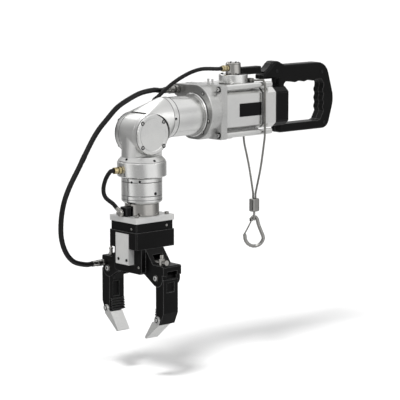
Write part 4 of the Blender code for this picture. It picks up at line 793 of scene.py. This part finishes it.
def raise_loop(bm, edges, rise, scale=1.0):
    """Extrudes a loop of edges upwards and scales the new loop about the axis."""
    made = bmesh.ops.extrude_edge_only(bm, edges=edges)["geom"]
    verts = [item for item in made if isinstance(item, bmesh.types.BMVert)]
    bmesh.ops.scale(bm, vec=(scale, scale, 1.0), verts=verts)
    bmesh.ops.translate(bm, vec=(0, 0, rise), verts=verts)
    return loop_edges(bm, verts)


def head_mesh(radius, height):
    """A socket screw's head that stands on the origin."""
    bm = bmesh.new()
    chamfer = radius * CHAMFER_SHARE
    rim = circle(bm, HEAD_SIDES, radius, 0.0)
    top = raise_loop(bm, raise_loop(bm, rim, height - chamfer), chamfer, 1 - CHAMFER_SHARE)
    socket = circle(bm, SOCKET_SIDES, radius * SOCKET_SHARE, height)
    bmesh.ops.bridge_loops(bm, edges=top + socket)
    floor = raise_loop(bm, socket, height * (SOCKET_FLOOR - 1))
    bmesh.ops.edgeloop_fill(bm, edges=rim)
    bmesh.ops.edgeloop_fill(bm, edges=floor)
    bmesh.ops.recalc_face_normals(bm, faces=bm.faces)
    mesh = bpy.data.meshes.new("screw head")
    bm.to_mesh(mesh)
    bm.free()
    return mesh


print("a screw head has", HEAD_SIDES, "sides")

# %% [markdown]
# ## Rings
# Dark rings lie round the bright screws as painted shade, and in the seams. Two circles could be bridged. A
# rectangle spun once round an axis is shorter, and gives both walls and both faces at once.

# %% Ring helper
def ring_mesh(outer, inner, low, high, sides):
    """A flat ring about the Z axis."""
    bm = bmesh.new()
    corners = [bm.verts.new((radius, 0, height)) for radius, height in
               ((outer, low), (outer, high), (inner, high), (inner, low))]
    edges = [bm.edges.new(pair) for pair in zip(corners, corners[1:] + corners[:1])]
    bmesh.ops.spin(bm, geom=corners + edges, cent=(0, 0, 0), axis=UP, angle=2 * math.pi, steps=sides,
                   use_merge=True)
    bmesh.ops.remove_doubles(bm, verts=bm.verts, dist=MERGE)
    bmesh.ops.recalc_face_normals(bm, faces=bm.faces)
    mesh = bpy.data.meshes.new("ring")
    bm.to_mesh(mesh)
    bm.free()
    return mesh


print("ring corners closer than", MERGE, "m are merged")

# %% [markdown]
# ## Stamping
# A group of screws is one piece that rides with the body it is screwed into. Each screw could be an
# object of its own, but that would fill the scene with dozens. So one head is copied into a single mesh
# at every spot.

# %% Stamping helpers
RING_EDGE = 0.0026
RING_HEIGHT = 0.0004
RING_BORE = 0.8


def stamp(name, body, template, spots, finish):
    """One piece with a copy of the template at each spot, which is (place, normal)."""
    bm = bmesh.new()
    for place, normal in spots:
        first = len(bm.verts)
        bm.from_mesh(template)
        turn = Vector(normal).to_track_quat("Z", "Y").to_matrix().to_4x4()
        bmesh.ops.transform(bm, matrix=Matrix.Translation(place) @ turn, verts=list(bm.verts)[first:])
    bpy.data.meshes.remove(template)
    return make_piece(name, bm, finish, body)


def screws(name, body, spots, radius, height, finish="screw"):
    return stamp(name, body, head_mesh(radius, height), spots, finish)


def screws_in_shade_rings(name, body, spots, radius, height):
    """Bright screw heads, each in a dark ring of painted shade."""
    ring = ring_mesh(radius + RING_EDGE, radius * RING_BORE, 0.0, RING_HEIGHT, HEAD_SIDES)
    # The dark rings are painted shade round the heads.
    stamp(f"{name}_rings", body, ring, spots, "black_metal")
    screws(name, body, spots, radius, height, "machined")


def both_sides(spots):
    """The spots and their mirror images on the far side."""
    far = [((x, -y, z), (a, -b, c)) for (x, y, z), (a, b, c) in spots]
    return spots + far


print("a ring stands out by", RING_EDGE, "m")

# %% [markdown]
# ## Screws of the elbow and the arm
# Four screws hold each elbow cover. The clamp ring has one on its near side, and the knuckle has two on
# its shoulder. All the covers' screws could be listed. Only the near ones are worked out, and a mirror
# function gives those of the far side.

# %% Elbow and arm screws
NEAR = (0, -1, 0)
COVER_FACE = -0.046
COVER_BOLTS = (0.0345, 0.0307)
elbow_spots = []
for across in (-1, 1):
    for along in (-1, 1):
        place = ELBOW + Vector((across * COVER_BOLTS[0], COVER_FACE, along * COVER_BOLTS[1]))
        elbow_spots.append((tuple(place), NEAR))
screws_in_shade_rings("elbow_cover_screws", "body", both_sides(elbow_spots), 0.0029, 0.0014)
screws("clamp_ring_screw", "body", [((-0.5792, -0.0522, -0.0094), NEAR)], 0.0034, 0.0010)
KNUCKLE_SPOTS = [((-0.7040, -0.0057, -0.1059), (-0.72, -0.05, 0.69)),
                 ((-0.6559, -0.0573, -0.1088), (-0.05, -0.72, 0.69))]
screws("knuckle_screws", "forearm", KNUCKLE_SPOTS, 0.0034, 0.0010)
print("elbow screws:", 2 * len(elbow_spots))

# %% [markdown]
# ## Screws of the front head
# Five screws stand round the arm on the turned face, and one in each corner pocket of the flange. The
# five could be typed in as points. Angles on one circle keep them at the same distance from its middle.

# %% Front head screws
FRONT = (-1, 0, 0)
BOSS_MIDDLE = -0.0035
BOSS_CIRCLE = 0.062
FLANGE_SPOTS = [((-0.4352, -0.0560, 0.0560), FRONT), ((-0.4352, -0.0560, -0.0630), FRONT)]
boss_spots = []
for angle in (126, 198, 234, 306, 342):
    turn = math.radians(angle)
    boss_spots.append(((BOSS_FACE, BOSS_CIRCLE * math.cos(turn),
                        BOSS_MIDDLE + BOSS_CIRCLE * math.sin(turn)), FRONT))
screws_in_shade_rings("boss_screws", "body", boss_spots, 0.0028, 0.0016)
screws_in_shade_rings("flange_screws", "body", both_sides(FLANGE_SPOTS), 0.0048, 0.0070)
print("front head screws:", len(boss_spots) + 2 * len(FLANGE_SPOTS))

# %% [markdown]
# ## Screws of the wrist and the gripper
# Tall cap screws hold the mounting plate. The rest are small: two marks and a set screw on the wrist, two
# in the cover, two in the neck and one pin in the frame. They follow no pattern that a loop could give,
# so their places are listed.

# %% Wrist and gripper screws
PLATE_SPOTS = [((-0.697, -0.036, -0.2508), UP), ((-0.598, -0.036, -0.2508), UP)]
MARK_SPOTS = [((-0.6982, -0.0179, -0.1633), (-0.94, -0.34, 0)),
              ((-0.6866, -0.0363, -0.1610), (-0.71, -0.70, 0))]
COVER_SPOTS = [((-0.7160, 0.0137, -0.3590), FRONT), ((-0.7160, -0.0180, -0.3598), FRONT)]
NECK_SPOTS = [((-0.7100, -0.0310, -0.2790), FRONT), ((-0.6109, -0.0504, -0.2769), NEAR)]
screws("plate_screws", "gripper", both_sides(PLATE_SPOTS), 0.0055, 0.0060, "plated")
screws("wrist_marks", "forearm", MARK_SPOTS, 0.0030, 0.0008)
screws("wrist_set_screw", "forearm", [((-0.6484, -0.0518, -0.1931), NEAR)], 0.0042, 0.0008)
screws("cover_plate_screws", "gripper", COVER_SPOTS, 0.0040, 0.0012)
screws("frame_pin", "gripper", [((-0.6965, -0.0423, -0.3772), FRONT)], 0.0034, 0.0014, "nickel")
screws("neck_screws", "gripper", NECK_SPOTS, 0.0032, 0.0012, "nickel")
print("plate screws:", 2 * len(PLATE_SPOTS))

# %% [markdown]
# ## Screws of the handle and the valve
# The two handle shells are screwed together at three corners. The valve has a ring of screws on its cap
# and another round its base. One loop over equal angles places both rings. The base's circle is left open
# towards the handle.

# %% Handle and valve screws
HANDLE_SPOTS = [((-0.1951, -0.0180, 0.0866), NEAR), ((-0.0261, -0.0180, 0.0752), NEAR),
                ((-0.0166, -0.0180, -0.0630), NEAR)]
VALVE_X = -0.3365
VALVE_SCREWS = 6
VALVE_TURN = 15
CAP_CIRCLE = 0.0135
CAP_TOP = 0.1166
BASE_CIRCLE = 0.0290
BASE_TOP = 0.0863
screws("handle_screws", "body", both_sides(HANDLE_SPOTS), 0.0046, 0.0010)
cap_spots, base_spots = [], []
for step in range(VALVE_SCREWS):
    turn = math.radians(360 / VALVE_SCREWS * step + VALVE_TURN)
    out = Vector((math.cos(turn), math.sin(turn)))
    cap_spots.append(((VALVE_X + CAP_CIRCLE * out.x, CAP_CIRCLE * out.y, CAP_TOP), UP))
    base_spots.append(((VALVE_X + BASE_CIRCLE * out.x, BASE_CIRCLE * out.y, BASE_TOP), UP))
screws("valve_cap_screws", "body", cap_spots, 0.0024, 0.0012)
open_circle = base_spots[1:-1]
screws("valve_base_screws", "body", open_circle, 0.0032, 0.0028)
print("valve screws:", len(cap_spots) + len(open_circle))

# %% [markdown]
# ## Heads of the pins
# The fingers turn on shoulder pins and the tips sit on tip pins. Each shows a bright socket head in a
# dark ring of painted shade. They could all be one piece, but the heads at the tips swing with their
# fingers, so each finger has its own.

# %% Pin heads
SHOULDER_FACE = -0.6866
SHOULDER_PLACE = (0.0950, -0.3987)
TIP_PIN_FACE = -0.6895
TIP_PIN_PLACE = (0.1010, -0.5037)
shoulder_spots = []
for side in (1, -1):
    shoulder_spots.append(((SHOULDER_FACE, side * SHOULDER_PLACE[0], SHOULDER_PLACE[1]), FRONT))
screws_in_shade_rings("shoulder_pin_heads", "gripper", shoulder_spots, 0.0062, 0.0022)
for side, body in ((1, "finger_left"), (-1, "finger_right")):
    pin = (TIP_PIN_FACE, side * TIP_PIN_PLACE[0], TIP_PIN_PLACE[1])
    screws_in_shade_rings(f"tip_pin_{body}", body, [(pin, FRONT)], 0.0044, 0.0018)
print("pin heads:", len(shoulder_spots) + 2)

# %% [markdown]
# ## Seams
# Turned pieces meet in fine dark lines, and the wrist barrel has grooves. A line could be painted, but it
# would vanish in the exported shape. Thin rings in the grooves and joints give the lines a real edge.

# %% Seam rings
SEAM_SIDES = 96
WRIST_TOP = -0.1526
ARM_MIDDLE = -0.0105
COVER_SEAT = 0.0411
ARM_SEAM_DEPTH = 0.0008
SEAM_HALF = 0.0004
seams = []


def seam(name, body, middle, way, outer, inner, half):
    """A thin dark ring about an axis that points along way."""
    ring = ring_mesh(outer, inner, -half, half, SEAM_SIDES)
    seams.append(stamp(name, body, ring, [(middle, way)], "screw"))


for name, drop, outer, inner, half in (("top", 0.0119, 0.0515, 0.0509, 0.0006),
                                       ("middle", 0.0469, 0.0515, 0.0509, 0.0006),
                                       ("foot", 0.0565, 0.0521, 0.0516, 0.0005)):
    seam(f"wrist_seam_{name}", "forearm", (ELBOW.x, 0, WRIST_TOP - drop), UP, outer, inner, half)
for name, x, outer in (("yoke", -0.58365, 0.0527), ("ring", -0.56815, 0.0527), ("boss", -0.4758, 0.0567)):
    seam(f"arm_seam_{name}", "body", (x, 0, ARM_MIDDLE), FRONT, outer, outer - ARM_SEAM_DEPTH, SEAM_HALF)
for name, side in (("near", -1), ("far", 1)):
    middle = (ELBOW.x, side * COVER_SEAT, ELBOW.z)
    seam(f"cover_seam_{name}", "body", middle, NEAR, 0.0523, 0.0516, SEAM_HALF)
print("seam rings:", len(seams))

# %% [markdown]
# ## Hook gate
# A spring wire closes the hook's mouth, from the end of its arch to its point. It could be bent from a
# cylinder. A short route swept by the hoses' own function is less work.

# %% Make the hook gate
HOOK_PIVOT = Vector((-0.2825, -0.025, -0.3025))
HOOK_TURN = Matrix.Rotation(math.radians(-42), 4, "Z")
GATE_RADIUS = 0.0019
GATE_SIDES = 12
GATE_POINTS = [(-0.0080, 0, -0.0045), (-0.0100, 0, -0.0080), (-0.0150, 0, -0.0180), (-0.0205, 0, -0.0290),
               (-0.0250, 0, -0.0370), (-0.0262, 0, -0.0392)]
gate_route = smooth_route([HOOK_PIVOT + HOOK_TURN @ Vector(point) for point in GATE_POINTS], ROUTE_STEP)
gate = sweep("hook_gate", gate_route, GATE_RADIUS, "plated", GATE_SIDES)
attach(gate, "hook")
print("gate wire", round(route_length(gate_route), 3), "m")
